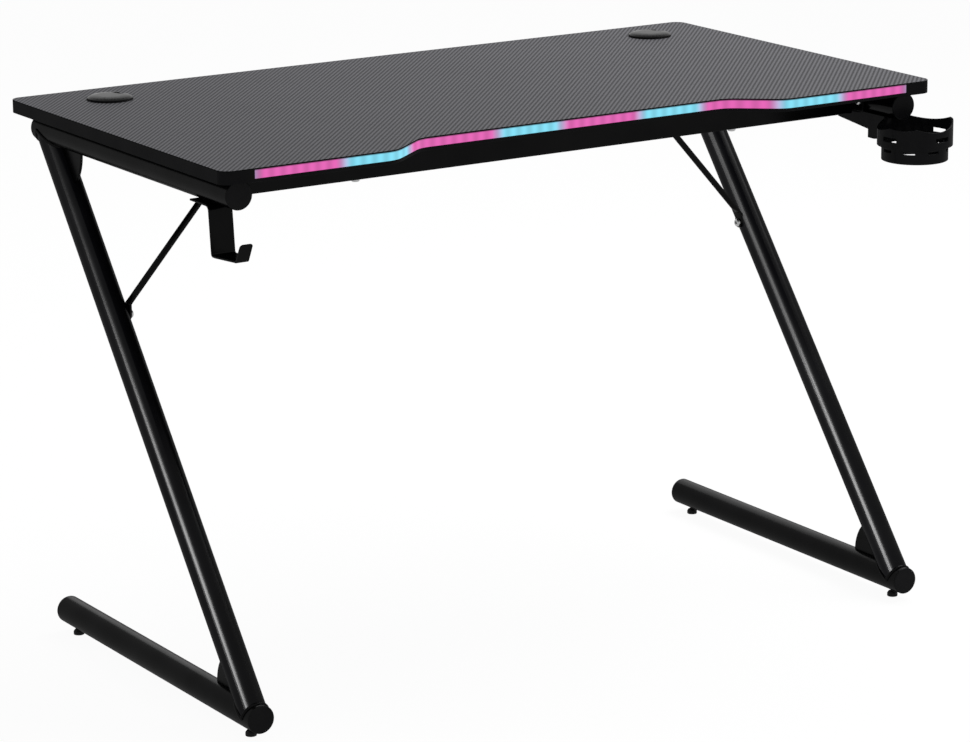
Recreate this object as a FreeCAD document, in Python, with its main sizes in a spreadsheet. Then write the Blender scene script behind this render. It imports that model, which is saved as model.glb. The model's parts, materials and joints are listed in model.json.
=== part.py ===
import FreeCAD, Part
import math
import os
import Sketcher

# Gaming desk with two Z-shaped tube frames, a recessed lit front edge, a headphone hook and a cup holder.
# Millimetres. The origin is on the floor under the middle of the deck, +Z up, and the user sits at -Y.

os.makedirs("parts", exist_ok=True)
doc = FreeCAD.newDocument("gaming_desk")
Vector = FreeCAD.Vector

# Driving dimensions
SIZES = {
    # Deck: board, laminate and edge band
    "deck_width": 1118,
    "deck_depth": 608,
    "deck_height": 750,
    "deck_thickness": 18,
    "deck_corner_radius": 16,
    "top_sheet": 1,
    "edge_band": 1.2,
    "recess_depth": 50,
    "recess_half_width": 274,
    "shoulder_angle": 38,
    "shoulder_radius": 40,
    # Light in the front edge
    "strip_end_inset": 45.5,
    "strip_drop": 1.6,
    "strip_height": 12.1,
    "diffuser_depth": 5,
    "groove_depth": 9,
    "tape_thickness": 1,
    "tape_height": 10,
    "emitter_width": 5,
    "emitter_depth": 1.6,
    "emitter_pitch": 16.6,
    # Cable grommets
    "grommet_side_inset": 112,
    "grommet_rear_inset": 84,
    "grommet_hole": 53,
    "grommet_flange": 63,
    "flange_thickness": 1.6,
    "liner_wall": 1.6,
    "liner_length": 20,
    "cap_dome": 4.6,
    "cap_rim": 0.8,
    "cap_shoulder": 3.4,
    "cap_shoulder_width": 53,
    "cap_crown": 32,
    "cap_hollow": 2,
    "cap_skirt": 9,
    "cap_skirt_wall": 1.6,
    "notch_width": 16,
    "notch_inset": 13,
    "notch_angle": 20,
    # Side frames
    "tube_diameter": 38,
    "tube_wall": 1.5,
    "tube_length": 549,
    "frame_inset": 33.6,
    "upper_setback": 22,
    "lower_reach": 3,
    "leg_inset": 17,
    "gusset_radius": 57,
    "gusset_thickness": 4,
    "end_cap_thickness": 2,
    "end_cap_plug": 12,
    "end_cap_bevel": 1,
    # Levelling feet
    "foot_height": 10.4,
    "foot_diameter": 15,
    "foot_neck": 11,
    "foot_rim": 4.5,
    "foot_pad": 7.5,
    "foot_stem": 6,
    "foot_stem_length": 22,
    "foot_end_inset": 27,
    "foot_nut_diameter": 10,
    "foot_nut_length": 9,
    # Cross beams and their end plates
    "beam_height": 40,
    "beam_width": 20,
    "beam_wall": 1.5,
    "front_beam_setback": 117,
    "plate_thickness": 4,
    "plate_lap": 5,
    "plate_length": 70,
    "plate_height": 30,
    "plate_bolt_spread": 50,
    "beam_bolt_inset": 201.4,
    "tube_bolt_inset": 164.5,
    # Diagonal braces
    "brace_diameter": 9,
    "brace_tongue_width": 15,
    "brace_tongue": 3,
    "brace_drop": 245,
    "brace_bolt_to_bend": 14,
    "brace_slant": 41.8,
    "brace_squeeze": 16,
    # Fasteners
    "bolt_diameter": 6,
    "bolt_head": 12,
    "bolt_head_height": 4,
    "nut_diameter": 9,
    "nut_length": 12,
    "insert_length": 13,
    "bolt_reach": 12,
    "fastener_sides": 12,
    # Headphone hook
    "hook_width": 34,
    "hook_lip_width": 18,
    "hook_sheet": 2.5,
    "hook_flange": 50,
    "hook_setback": 70.3,
    "hook_drop": 66,
    "hook_drop_lean": 5,
    "hook_shelf": 48.7,
    "hook_lip": 26,
    "hook_lip_lean": 27,
    "hook_bend": 2.5,
    "hook_top_bend": 6,
    "hook_lip_round": 4,
    "hook_screw_inset": 12,
    "hook_screw_spread": 22,
    # Cup holder
    "cup_reach": 6,
    "cup_ring": 105,
    "cup_basket": 92.6,
    "cup_wall": 2.4,
    "cup_floor": 2.2,
    "cup_step": 20.6,
    "cup_rim": 56.5,
    "cup_below_tube": 50.6,
    "cup_scoop_radius": 90,
    "cup_front_scoop": 11.5,
    "cup_side_scoop": 9,
    "cup_inner_scoop": 13,
    "cup_outer_scoop": 8.5,
    "cup_scoop_turn": 60,
    "cup_window_width": 24,
    "cup_window_height": 6,
    "cup_window_rise": 33.5,
    "cup_windows": 4,
    "cup_window_turn": 8.4,
    "cup_slot_width": 17,
    "cup_slot_height": 3.5,
    "cup_slot_rise": 15.6,
    "cup_slots": 8,
    "cup_slot_turn": 4,
    "cup_drain": 62,
    "arm_width": 34,
    "arm_length": 152,
    "arm_end_depth": 12,
    "arm_root_depth": 20,
    "arm_rib_at": 84,
    "arm_rib_depth": 32,
    "arm_rib_length": 14,
    "arm_wall": 3,
    "arm_plate": 6,
    "arm_saddle": 3.5,
    "arm_screw_inset": 18,
    "arm_screw_spread": 36,
    # Light controller under the deck
    "controller_x": 150,
    "controller_gap": 12,
    "controller_length": 72,
    "controller_width": 34,
    "controller_height": 22,
    "controller_wall": 1.8,
    "controller_ear": 12,
    "controller_ear_thickness": 3,
    "cover_thickness": 1.6,
    "circuit_board": 1.6,
    "circuit_lift": 6,
    "button_diameter": 8,
    "button_flange": 1,
    "button_proud": 2,
    "button_x": 18,
    "switch_height": 3.4,
    "socket_width": 10,
    "socket_height": 10,
    "socket_depth": 12,
    "socket_bore": 6.4,
    "socket_bore_depth": 10,
    "controller_screw": 3,
    "controller_screw_head": 6,
    "controller_screw_head_height": 2,
    "controller_screw_reach": 10,
    "lead_diameter": 4,
    "lead_slot": 5,
    "lead_bend": 10,
    # Clearances
    "fit_gap": 0.2,
    "run_gap": 0.3,
}

# Places that follow from the driving dimensions
PLACES = {
    "under": "=Sizes.deck_height - Sizes.deck_thickness",
    "board_top": "=Sizes.deck_height - Sizes.top_sheet",
    "front": "=-Sizes.deck_depth / 2",
    "recess_front": "=front + Sizes.recess_depth",
    "strip_half": "=Sizes.deck_width / 2 - Sizes.strip_end_inset",
    "strip_top": "=Sizes.deck_height - Sizes.strip_drop",
    "strip_bottom": "=strip_top - Sizes.strip_height",
    "strip_middle": "=strip_top - Sizes.strip_height / 2",
    "grommet_x": "=Sizes.deck_width / 2 - Sizes.grommet_side_inset",
    "grommet_y": "=Sizes.deck_depth / 2 - Sizes.grommet_rear_inset",
    "tube_radius": "=Sizes.tube_diameter / 2",
    "frame_x": "=Sizes.deck_width / 2 - Sizes.frame_inset",
    "upper_z": "=under - tube_radius",
    "upper_bottom": "=upper_z - tube_radius",
    "tube_bolt_seat": "=upper_z + sqrt((tube_radius - Sizes.tube_wall) ^ 2 - (Sizes.bolt_head / 2) ^ 2)",
    "nut_sink": "=tube_radius - sqrt(tube_radius ^ 2 - (Sizes.nut_diameter / 2) ^ 2)",
    "lower_z": "=Sizes.foot_height + tube_radius",
    "upper_front": "=front + Sizes.upper_setback",
    "upper_rear": "=upper_front + Sizes.tube_length",
    "upper_middle": "=(upper_front + upper_rear) / 2",
    "lower_front": "=front - Sizes.lower_reach",
    "lower_rear": "=lower_front + Sizes.tube_length",
    "foot_front": "=lower_front + Sizes.foot_end_inset",
    "foot_rear": "=lower_rear - Sizes.foot_end_inset",
    "leg_foot_y": "=lower_front + Sizes.leg_inset",
    "leg_head_y": "=upper_rear - Sizes.leg_inset",
    "leg_run": "=leg_head_y - leg_foot_y",
    "leg_rise": "=upper_z - lower_z",
    "leg_length": "=sqrt(leg_run ^ 2 + leg_rise ^ 2)",
    "leg_lean": "=atan(leg_run / leg_rise)",
    "gusset_offset": "=tube_radius * tan(leg_lean) + tube_radius / cos(leg_lean)",
    "beam_bottom": "=under - Sizes.beam_height",
    "front_beam_y": "=front + Sizes.front_beam_setback",
    "rear_beam_y": "=2 * upper_middle - front_beam_y",
    "plate_x": "=frame_x - tube_radius - Sizes.plate_thickness",
    "beam_bolt_x": "=plate_x - Sizes.beam_bolt_inset",
    "tube_bolt_front": "=upper_front + Sizes.tube_bolt_inset",
    "tube_bolt_rear": "=upper_rear - Sizes.tube_bolt_inset",
    "brace_bolt_z": "=under - Sizes.brace_drop",
    "brace_y": "=leg_foot_y + (brace_bolt_z - lower_z) * tan(leg_lean)",
    "brace_leg_x": "=frame_x - tube_radius",
    "brace_low_z": "=brace_bolt_z + Sizes.brace_bolt_to_bend",
    "brace_high_x": "=brace_leg_x - (under - brace_low_z) * tan(Sizes.brace_slant)",
    "brace_screw_x": "=brace_high_x - Sizes.brace_bolt_to_bend",
    "hook_y": "=front + Sizes.hook_setback",
    "hook_heel_y": "=hook_y - Sizes.hook_drop * tan(Sizes.hook_drop_lean)",
    "hook_screw_y": "=hook_y + Sizes.hook_flange - Sizes.hook_screw_inset",
    "cup_y": "=front - Sizes.cup_reach",
    "cup_z": "=upper_bottom - Sizes.cup_below_tube",
    "arm_screw_y": "=cup_y + Sizes.arm_length - Sizes.arm_screw_inset",
    "controller_front": "=front_beam_y + Sizes.beam_width / 2 + Sizes.controller_gap",
    "controller_y": "=controller_front + Sizes.controller_width / 2",
    "controller_z": "=under - Sizes.controller_height",
    "board_z": "=controller_z + Sizes.cover_thickness + Sizes.circuit_lift",
    "lead_y": "=controller_front + Sizes.lead_slot",
    "lead_start": "=recess_front + Sizes.groove_depth",
}


def make_sheet(name, rows):
    """One row for each value: its name beside the cell that carries the alias."""
    made = doc.addObject("Spreadsheet::Sheet", name)
    for row, (alias, content) in enumerate(rows.items(), start=1):
        made.set(f"A{row}", alias)
        made.set(f"B{row}", str(content))
        made.setAlias(f"B{row}", alias)
    doc.recompute()
    return made


sizes = make_sheet("Sizes", SIZES)
places = make_sheet("Places", PLACES)
nodes = []


def num(expression):
    """The value of an expression on the sheets' names."""
    return float(places.evalExpression(str(expression)))


def point(x, y, z):
    return Vector(num(x), num(y), num(z))


def node(name, made):
    """Marks a finished object as one piece of the desk."""
    made.Label = name
    nodes.append(made)
    return made


def place(made, x="0", y="0", z="0", axis=None, angle="0"):
    """Binds an object's place, and its turn about one axis, to the sheets."""
    if axis is not None:
        made.Placement = FreeCAD.Placement(Vector(), FreeCAD.Rotation(axis, num(angle)))
        if isinstance(angle, str):
            made.setExpression("Placement.Rotation.Angle", angle)
    for letter, expression in zip("xyz", (x, y, z)):
        made.setExpression(f"Placement.Base.{letter}", str(expression))
    return made


# Part primitives and booleans with their sizes bound to the sheets

X_AXIS, Y_AXIS, Z_AXIS = Vector(1, 0, 0), Vector(0, 1, 0), Vector(0, 0, 1)
TURN_TO = {"+x": (Y_AXIS, 90), "-x": (Y_AXIS, -90), "+y": (X_AXIS, -90), "-y": (X_AXIS, 90),
           "+z": (Z_AXIS, 0), "-z": (X_AXIS, 180)}


def cylinder(name, radius, height, x, y, z, towards="+z"):
    made = doc.addObject("Part::Cylinder", name)
    made.setExpression("Radius", str(radius))
    made.setExpression("Height", str(height))
    axis, angle = TURN_TO[towards]
    return place(made, x, y, z, axis, angle)


def box(name, length, width, height, x, y, z):
    made = doc.addObject("Part::Box", name)
    for prop, expression in (("Length", length), ("Width", width), ("Height", height)):
        made.setExpression(prop, str(expression))
    return place(made, x, y, z)


def joined(name, pieces):
    made = doc.addObject("Part::MultiFuse", name)
    made.Shapes = pieces
    return made


def cut(name, base, tools):
    made = doc.addObject("Part::Cut", name)
    made.Base = base
    made.Tool = tools[0] if len(tools) == 1 else joined(name + "_cuts", tools)
    return made


def common(name, first, second):
    made = doc.addObject("Part::Common", name)
    made.Base = first
    made.Tool = second
    return made


# Bodies with sketches bound to the sheets

def new_body(name):
    return doc.addObject("PartDesign::Body", name)


def new_sketch(body, plane, name, shift="0", turn=0):
    """A sketch on one of the body's own planes, moved along its normal and turned about its upright."""
    made = body.newObject("Sketcher::SketchObject", name)
    support = next(o for o in body.Origin.OriginFeatures if o.Role == plane + "_Plane")
    made.AttachmentSupport = (support, [""])
    made.MapMode = "FlatFace"
    made.AttachmentOffset = FreeCAD.Placement(Vector(), FreeCAD.Rotation(Y_AXIS, turn))
    made.setExpression("AttachmentOffset.Base.z", str(shift))
    return made


def pin_point(made, geometry, position, x, y):
    """Holds a point of the sketch at two expressions."""
    for kind, expression in (("DistanceX", x), ("DistanceY", y)):
        index = made.addConstraint(Sketcher.Constraint(kind, -1, 1, geometry, position, num(expression)))
        made.setExpression(f"Constraints[{index}]", str(expression))


def draw_polygon(made, corners):
    """A closed outline of straight lines with every corner held at its two expressions."""
    spots = [Vector(num(x), num(y), 0) for x, y in corners]
    first = made.GeometryCount
    count = len(spots)
    for i, spot in enumerate(spots):
        made.addGeometry(Part.LineSegment(spot, spots[(i + 1) % count]), False)
    for i in range(count):
        made.addConstraint(Sketcher.Constraint("Coincident", first + i, 2, first + (i + 1) % count, 1))
    for i, (x, y) in enumerate(corners):
        pin_point(made, first + i, 1, x, y)


def draw_circle(made, x, y, radius):
    index = made.addGeometry(Part.Circle(Vector(num(x), num(y), 0), Z_AXIS, num(radius)), False)
    pin_point(made, index, 3, x, y)
    held = made.addConstraint(Sketcher.Constraint("Radius", index, num(radius)))
    made.setExpression(f"Constraints[{held}]", str(radius))


def rectangle(x, y, width, height):
    """The four corners of a rectangle about a middle point."""
    return [(f"({x}) {a} ({width}) / 2", f"({y}) {b} ({height}) / 2")
            for a, b in (("-", "-"), ("+", "-"), ("+", "+"), ("-", "+"))]


def add_pad(body, outline, name, length, symmetric=False):
    made = body.newObject("PartDesign::Pad", name)
    made.Profile = outline
    made.setExpression("Length", str(length))
    made.SideType = "Symmetric" if symmetric else "One side"
    doc.recompute()
    return made


def add_pocket(body, outline, name, length=None, reverse=False, symmetric=False):
    """A pocket to a length, or right through both ways, that has to take material away."""
    before = body.Shape.Volume
    made = body.newObject("PartDesign::Pocket", name)
    made.Profile = outline
    if length is None:
        made.Type = "ThroughAll"
        made.SideType = "Symmetric"
    else:
        made.setExpression("Length", str(length))
        made.SideType = "Symmetric" if symmetric else "One side"
        made.Reversed = reverse
    doc.recompute()
    if not made.Shape.Volume < before - 1e-6:
        raise ValueError(f"{name} takes nothing away")
    return made


def add_turned(body, outline, name):
    """A full revolution about the body's own Z axis."""
    made = body.newObject("PartDesign::Revolution", name)
    made.Profile = outline
    made.ReferenceAxis = (next(o for o in body.Origin.OriginFeatures if o.Role == "Z_Axis"), [""])
    made.Angle = 360
    doc.recompute()
    return made


def add_ring_of(body, feature, name, count):
    """Repeats a feature evenly about the body's own Z axis."""
    made = body.newObject("PartDesign::PolarPattern", name)
    made.Originals = [feature]
    made.Axis = (next(o for o in body.Origin.OriginFeatures if o.Role == "Z_Axis"), [""])
    made.Angle = 360
    made.setExpression("Occurrences", str(count))
    body.Tip = made
    doc.recompute()
    return made


def round_edges(body, base, name, radius, wanted):
    """Rounds the edges of a feature whose middle point passes the test."""
    chosen = [f"Edge{i}" for i, edge in enumerate(base.Shape.Edges, start=1)
              if wanted(edge, edge.valueAt((edge.FirstParameter + edge.LastParameter) / 2))]
    made = body.newObject("PartDesign::Fillet", name)
    made.Base = (base, chosen)
    made.setExpression("Radius", str(radius))
    doc.recompute()
    return made


def group(name, shapes):
    """Like pieces that share one node as separate solids."""
    made = doc.addObject("Part::Feature", name)
    made.Shape = Part.makeCompound(shapes)
    return node(name, made)


def prism(across, height, spot, direction):
    """A many-sided prism that stands on a spot, for the small round pieces that repeat."""
    radius, sides = across / 2, int(num("Sizes.fastener_sides"))
    turns = [2 * math.pi * i / sides for i in range(sides + 1)]
    rim = Part.makePolygon([Vector(radius * math.cos(a), radius * math.sin(a), 0) for a in turns])
    made = Part.Face(rim).extrude(Z_AXIS * height)
    made.Placement = FreeCAD.Placement(spot, FreeCAD.Rotation(Z_AXIS, direction))
    return made


def upright(edge):
    """True for a straight edge along Z."""
    return edge.Curve.TypeId == "Part::GeomLine" and abs(edge.tangentAt(edge.FirstParameter).z) > 0.999


# Deck: one outline, drawn as a rectangle with a sloped notch and rounded corners, set in by any distance

def deck_prism(name, inset, bottom, top):
    """The deck's outline set in all round by a distance, between two heights."""
    half_width = f"Sizes.deck_width / 2 - ({inset})"
    half_depth = f"Sizes.deck_depth / 2 - ({inset})"
    slope_run = "Sizes.recess_depth / 2 / tan(Sizes.shoulder_angle)"
    middle = f"Sizes.recess_half_width + ({inset}) * tan(Sizes.shoulder_angle / 2)"
    front, notch = f"-({half_depth})", f"Sizes.recess_depth - ({half_depth})"
    right_half = [(f"{middle} - {slope_run}", notch), (f"{middle} + {slope_run}", front),
                  (half_width, front), (half_width, half_depth)]
    left_half = [(f"-({x})", y) for x, y in reversed(right_half)]
    body = new_body(name)
    outline = new_sketch(body, "XY", name + "_outline", bottom)
    draw_polygon(outline, right_half + left_half)
    slab = add_pad(body, outline, name + "_slab", f"{top} - ({bottom})")
    side, edge_y = num(half_width), num(front)
    slab = round_edges(body, slab, name + "_corners", f"Sizes.deck_corner_radius - ({inset})",
                       lambda e, p: upright(e) and abs(abs(p.x) - side) < 0.01)
    outer_x, inner_x = num(f"{middle} + {slope_run}"), num(f"{middle} - {slope_run}")
    slab = round_edges(body, slab, name + "_outer_shoulders", f"Sizes.shoulder_radius - ({inset})",
                       lambda e, p: (upright(e) and abs(p.y - edge_y) < 0.01
                                     and abs(abs(p.x) - outer_x) < 0.01))
    round_edges(body, slab, name + "_inner_shoulders", f"Sizes.shoulder_radius + ({inset})",
                lambda e, p: upright(e) and p.y < 0 and abs(abs(p.x) - inner_x) < 0.01)
    return body


def front_zone(name, half_length, bottom, height):
    """A box round the front edge between the ends of the light."""
    return box(name, f"2 * ({half_length})", "Sizes.deck_depth / 2", height,
               f"-({half_length})", "Places.front - Sizes.groove_depth", bottom)


grommet_holes = [cylinder(f"grommet_hole_{side}", "Sizes.grommet_hole / 2", "Sizes.deck_thickness",
                          f"{sign}Places.grommet_x", "Places.grommet_y", "Places.under")
                 for side, sign in (("left", "-"), ("right", ""))]

top_sheet = deck_prism("top_sheet_blank", 0, "Places.board_top", "Sizes.deck_height")
node("deck_top_sheet", cut("top_sheet_cut", top_sheet, grommet_holes))

band_window = front_zone("band_window", "Places.strip_half", "Places.strip_bottom", "Sizes.strip_height")
band_core = deck_prism("band_core", "Sizes.edge_band", "Places.under", "Places.board_top")
node("deck_edge_band", cut("edge_band_cut", deck_prism("band_blank", 0, "Places.under", "Places.board_top"),
                           [band_core, band_window]))

# Board: routed for the light, the grommets, the lead and the threaded inserts
deck_bolt_spots = [(f"{sign}Places.beam_bolt_x", f"Places.{end}_beam_y") for sign in ("-", "")
                   for end in ("front", "rear")]
tube_bolt_spots = [(f"{sign}Places.frame_x", f"Places.tube_bolt_{end}") for sign in ("-", "")
                   for end in ("front", "rear")]
brace_screw_spots = [(f"{sign}Places.brace_screw_x", "Places.brace_y") for sign in ("-", "")]
ear_middle = "(Sizes.controller_length + Sizes.controller_ear) / 2"
controller_screw_spots = [(f"Sizes.controller_x {sign} {ear_middle}", "Places.controller_y")
                          for sign in ("-", "+")]
insert_spots = deck_bolt_spots + tube_bolt_spots + brace_screw_spots

insert_holes = [cylinder(f"insert_hole_{i}", "Sizes.nut_diameter / 2 + Sizes.fit_gap / 2",
                         "Sizes.insert_length + Sizes.fit_gap", x, y, "Places.under")
                for i, (x, y) in enumerate(insert_spots, start=1)]
screw_holes = [cylinder(f"controller_screw_hole_{i}", "Sizes.controller_screw / 2 + Sizes.fit_gap / 2",
                        "Sizes.controller_screw_reach + Sizes.fit_gap", x, y, "Places.under")
               for i, (x, y) in enumerate(controller_screw_spots, start=1)]
groove = cut("light_groove",
             front_zone("groove_zone", "Places.strip_half", "Places.strip_bottom", "Sizes.strip_height"),
             [deck_prism("groove_core", "Sizes.groove_depth", "Places.under", "Places.board_top")])
lead_slot = box("lead_slot", "Sizes.lead_slot", "Places.lead_y + Sizes.lead_slot / 2 - Places.lead_start",
                "Places.strip_middle + Sizes.lead_slot / 2 - Places.under",
                "Sizes.controller_x - Sizes.lead_slot / 2", "Places.lead_start", "Places.under")
board_blank = deck_prism("board_blank", "Sizes.edge_band", "Places.under", "Places.board_top")
node("deck_board", cut("deck_board_cut", board_blank,
                       [groove, lead_slot] + insert_holes + screw_holes + grommet_holes))

# Light: opal diffuser flush with the front edge, and the tape with its emitters on the groove's back wall

def light_ring(name, outer, inner, half_length, bottom, height):
    """A strip that follows the front edge between two insets."""
    top = f"({bottom}) + ({height})"
    ring = cut(name + "_ring", deck_prism(name + "_outer", outer, bottom, top),
               [deck_prism(name + "_inner", inner, bottom, top)])
    return common(name + "_strip", ring, front_zone(name + "_zone", half_length, bottom, height))


light_half = "Places.strip_half - Sizes.fit_gap"
node("light_diffuser", light_ring("diffuser", 0, "Sizes.diffuser_depth", light_half,
                                  "Places.strip_bottom + Sizes.fit_gap",
                                  "Sizes.strip_height - 2 * Sizes.fit_gap"))
tape_rear = "Sizes.groove_depth - Sizes.fit_gap"
node("light_tape", light_ring("tape", f"{tape_rear} - Sizes.tape_thickness", tape_rear, light_half,
                              "Places.strip_middle - Sizes.tape_height / 2", "Sizes.tape_height"))
doc.recompute()


def tape_path():
    """The front line of the tape at its underside, between the deck's two front corners."""
    sole = min(doc.getObject("tape_outer").Shape.Faces, key=lambda face: face.CenterOfMass.z)
    corner = num("Sizes.deck_width / 2 - Sizes.deck_corner_radius")
    front_edges = [edge for edge in sole.OuterWire.Edges
                   if edge.CenterOfMass.y < 0 and abs(edge.CenterOfMass.x) < corner]
    return Part.Wire(Part.__sortEdges__(front_edges))


def emitters():
    """Square emitters at an even pitch along the tape, each turned to face straight out of it."""
    path = tape_path()
    pitch, width, depth = (num(f"Sizes.emitter_{name}") for name in ("pitch", "width", "depth"))
    lift = Vector(0, 0, num("Sizes.tape_height / 2 - Sizes.emitter_width / 2"))
    last = num("Places.strip_half - Sizes.emitter_pitch / 2")
    step = path.discretize(Number=2 * round(path.Length / pitch) + 1)
    made = []
    for before, spot, after in zip(step[0::2], step[1::2], step[2::2]):
        if abs(spot.x) > last:
            continue
        along = after - before if after.x > before.x else before - after
        chip = Part.makeBox(width, depth, width, Vector(-width / 2, -depth - num("Sizes.fit_gap"), 0))
        chip.Placement = FreeCAD.Placement(spot + lift, FreeCAD.Rotation(X_AXIS, along))
        made.append(chip)
    return made


group("light_emitters", emitters())

# Grommets: a flanged liner in the deck and a domed cap that turns in it, notched for cables

liner_outer = "Sizes.grommet_hole / 2 - Sizes.fit_gap"
liner_inner = f"{liner_outer} - Sizes.liner_wall"
flange = "Sizes.grommet_flange / 2"
cap_outer = f"{flange} - Sizes.run_gap"
skirt_outer = f"{liner_inner} - Sizes.run_gap"
skirt_inner = f"{skirt_outer} - Sizes.cap_skirt_wall"
cap_bottom = "Sizes.flange_thickness + Sizes.run_gap"
cap_top = f"{cap_bottom} + Sizes.cap_dome"
cap_under = f"{cap_bottom} + Sizes.cap_hollow"
skirt_bottom = f"{cap_bottom} - Sizes.cap_skirt"

for side, sign in (("left", "-"), ("right", "")):
    liner = new_body(f"liner_{side}")
    outline = new_sketch(liner, "XZ", f"liner_outline_{side}")
    draw_polygon(outline, [(liner_inner, "Sizes.flange_thickness"), (liner_inner, "-Sizes.liner_length"),
                           (liner_outer, "-Sizes.liner_length"), (liner_outer, "0"),
                           (flange, "0"), (flange, "Sizes.flange_thickness")])
    add_turned(liner, outline, f"liner_turned_{side}")
    place(liner, f"{sign}Places.grommet_x", "Places.grommet_y", "Sizes.deck_height")
    node(f"grommet_liner_{side}", liner)

    cap = new_body(f"cap_{side}")
    outline = new_sketch(cap, "XZ", f"cap_outline_{side}")
    draw_polygon(outline, [("0", cap_top), ("0", cap_under), (skirt_inner, cap_under),
                           (skirt_inner, skirt_bottom), (skirt_outer, skirt_bottom),
                           (skirt_outer, cap_bottom), (cap_outer, cap_bottom),
                           (cap_outer, f"{cap_bottom} + Sizes.cap_rim"),
                           ("Sizes.cap_shoulder_width / 2", f"{cap_bottom} + Sizes.cap_shoulder"),
                           ("Sizes.cap_crown / 2", cap_top)])
    add_turned(cap, outline, f"cap_turned_{side}")
    notch = new_sketch(cap, "XY", f"cap_notch_outline_{side}")
    draw_polygon(notch, rectangle(f"Sizes.notch_inset + {flange}", "0", "Sizes.grommet_flange",
                                  "Sizes.notch_width"))
    add_pocket(cap, notch, f"cap_notch_{side}")
    place(cap, f"{sign}Places.grommet_x", "Places.grommet_y", "Sizes.deck_height", Z_AXIS,
          "Sizes.notch_angle")
    node(f"grommet_cap_{side}", cap)

# Side frames: upper tube, sloping leg and lower tube, with coped leg ends and sector gussets

SIDES = (("left", "-"), ("right", ""))
bore = "Places.tube_radius - Sizes.tube_wall"
nut_hole = "Sizes.nut_diameter / 2 + Sizes.fit_gap / 2"
bolt_hole = "Sizes.bolt_diameter / 2 + Sizes.run_gap"
tool_hole = "Sizes.bolt_head / 2 + Sizes.run_gap"
plate_bolt_spots = [f"Places.{beam}_beam_y {end} Sizes.plate_bolt_spread / 2"
                    for beam in ("front", "rear") for end in ("-", "+")]
hook_screw_spots = ["Places.hook_screw_y", "Places.hook_screw_y - Sizes.hook_screw_spread"]
arm_screw_spots = ["Places.arm_screw_y", "Places.arm_screw_y - Sizes.arm_screw_spread"]
INWARD = {"left": "+x", "right": "-x"}


def tube(name, x, y, z, holes):
    """A straight round tube along Y with its drilled holes."""
    outside = cylinder(name + "_outside", "Places.tube_radius", "Sizes.tube_length", x, y, z, "+y")
    inside = cylinder(name + "_inside", bore, "Sizes.tube_length", x, y, z, "+y")
    return node(name, cut(name + "_cut", outside, [inside] + holes))


def gusset(name, x, y, z, turn):
    """A sector plate in the corner between a tube and the leg, its two straight edges on their surfaces."""
    body = new_body(name + "_body")
    outline = new_sketch(body, "YZ", name + "_outline")
    radius, opening = num("Sizes.gusset_radius"), math.radians(90 - num("Places.leg_lean"))
    tip = Vector(radius * math.cos(opening), radius * math.sin(opening), 0)
    outline.addGeometry(Part.LineSegment(Vector(), Vector(radius, 0, 0)), False)
    outline.addGeometry(Part.ArcOfCircle(Part.Circle(Vector(), Z_AXIS, radius), 0, opening), False)
    outline.addGeometry(Part.LineSegment(tip, Vector()), False)
    for ends in ((0, 1, -1, 1), (0, 2, 1, 1), (1, 2, 2, 1), (2, 2, -1, 1)):
        outline.addConstraint(Sketcher.Constraint("Coincident", *ends))
    outline.addConstraint(Sketcher.Constraint("Horizontal", 0))
    outline.addConstraint(Sketcher.Constraint("Coincident", 1, 3, -1, 1))
    held = outline.addConstraint(Sketcher.Constraint("Radius", 1, radius))
    outline.setExpression(f"Constraints[{held}]", "Sizes.gusset_radius")
    held = outline.addConstraint(Sketcher.Constraint("Angle", 0, 1, 2, 2, opening))
    outline.setExpression(f"Constraints[{held}]", "90 deg - Places.leg_lean")
    add_pad(body, outline, name + "_plate", "Sizes.gusset_thickness", symmetric=True)
    return node(name, place(body, x, y, z, X_AXIS, turn))


def end_cap(name, x, y, z, towards):
    """A plug for a tube's end with a flush disc and a bevelled edge."""
    body = new_body(name + "_body")
    outline = new_sketch(body, "XZ", name + "_outline")
    plug = f"{bore} - Sizes.fit_gap"
    draw_polygon(outline, [("0", "Sizes.end_cap_thickness"), ("0", "-Sizes.end_cap_plug"),
                           (plug, "-Sizes.end_cap_plug"), (plug, "0"), ("Places.tube_radius", "0"),
                           ("Places.tube_radius", "Sizes.end_cap_thickness - Sizes.end_cap_bevel"),
                           ("Places.tube_radius - Sizes.end_cap_bevel", "Sizes.end_cap_thickness")])
    add_turned(body, outline, name + "_turned")
    axis, angle = TURN_TO[towards]
    return node(name, place(body, x, y, z, axis, angle))


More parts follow.
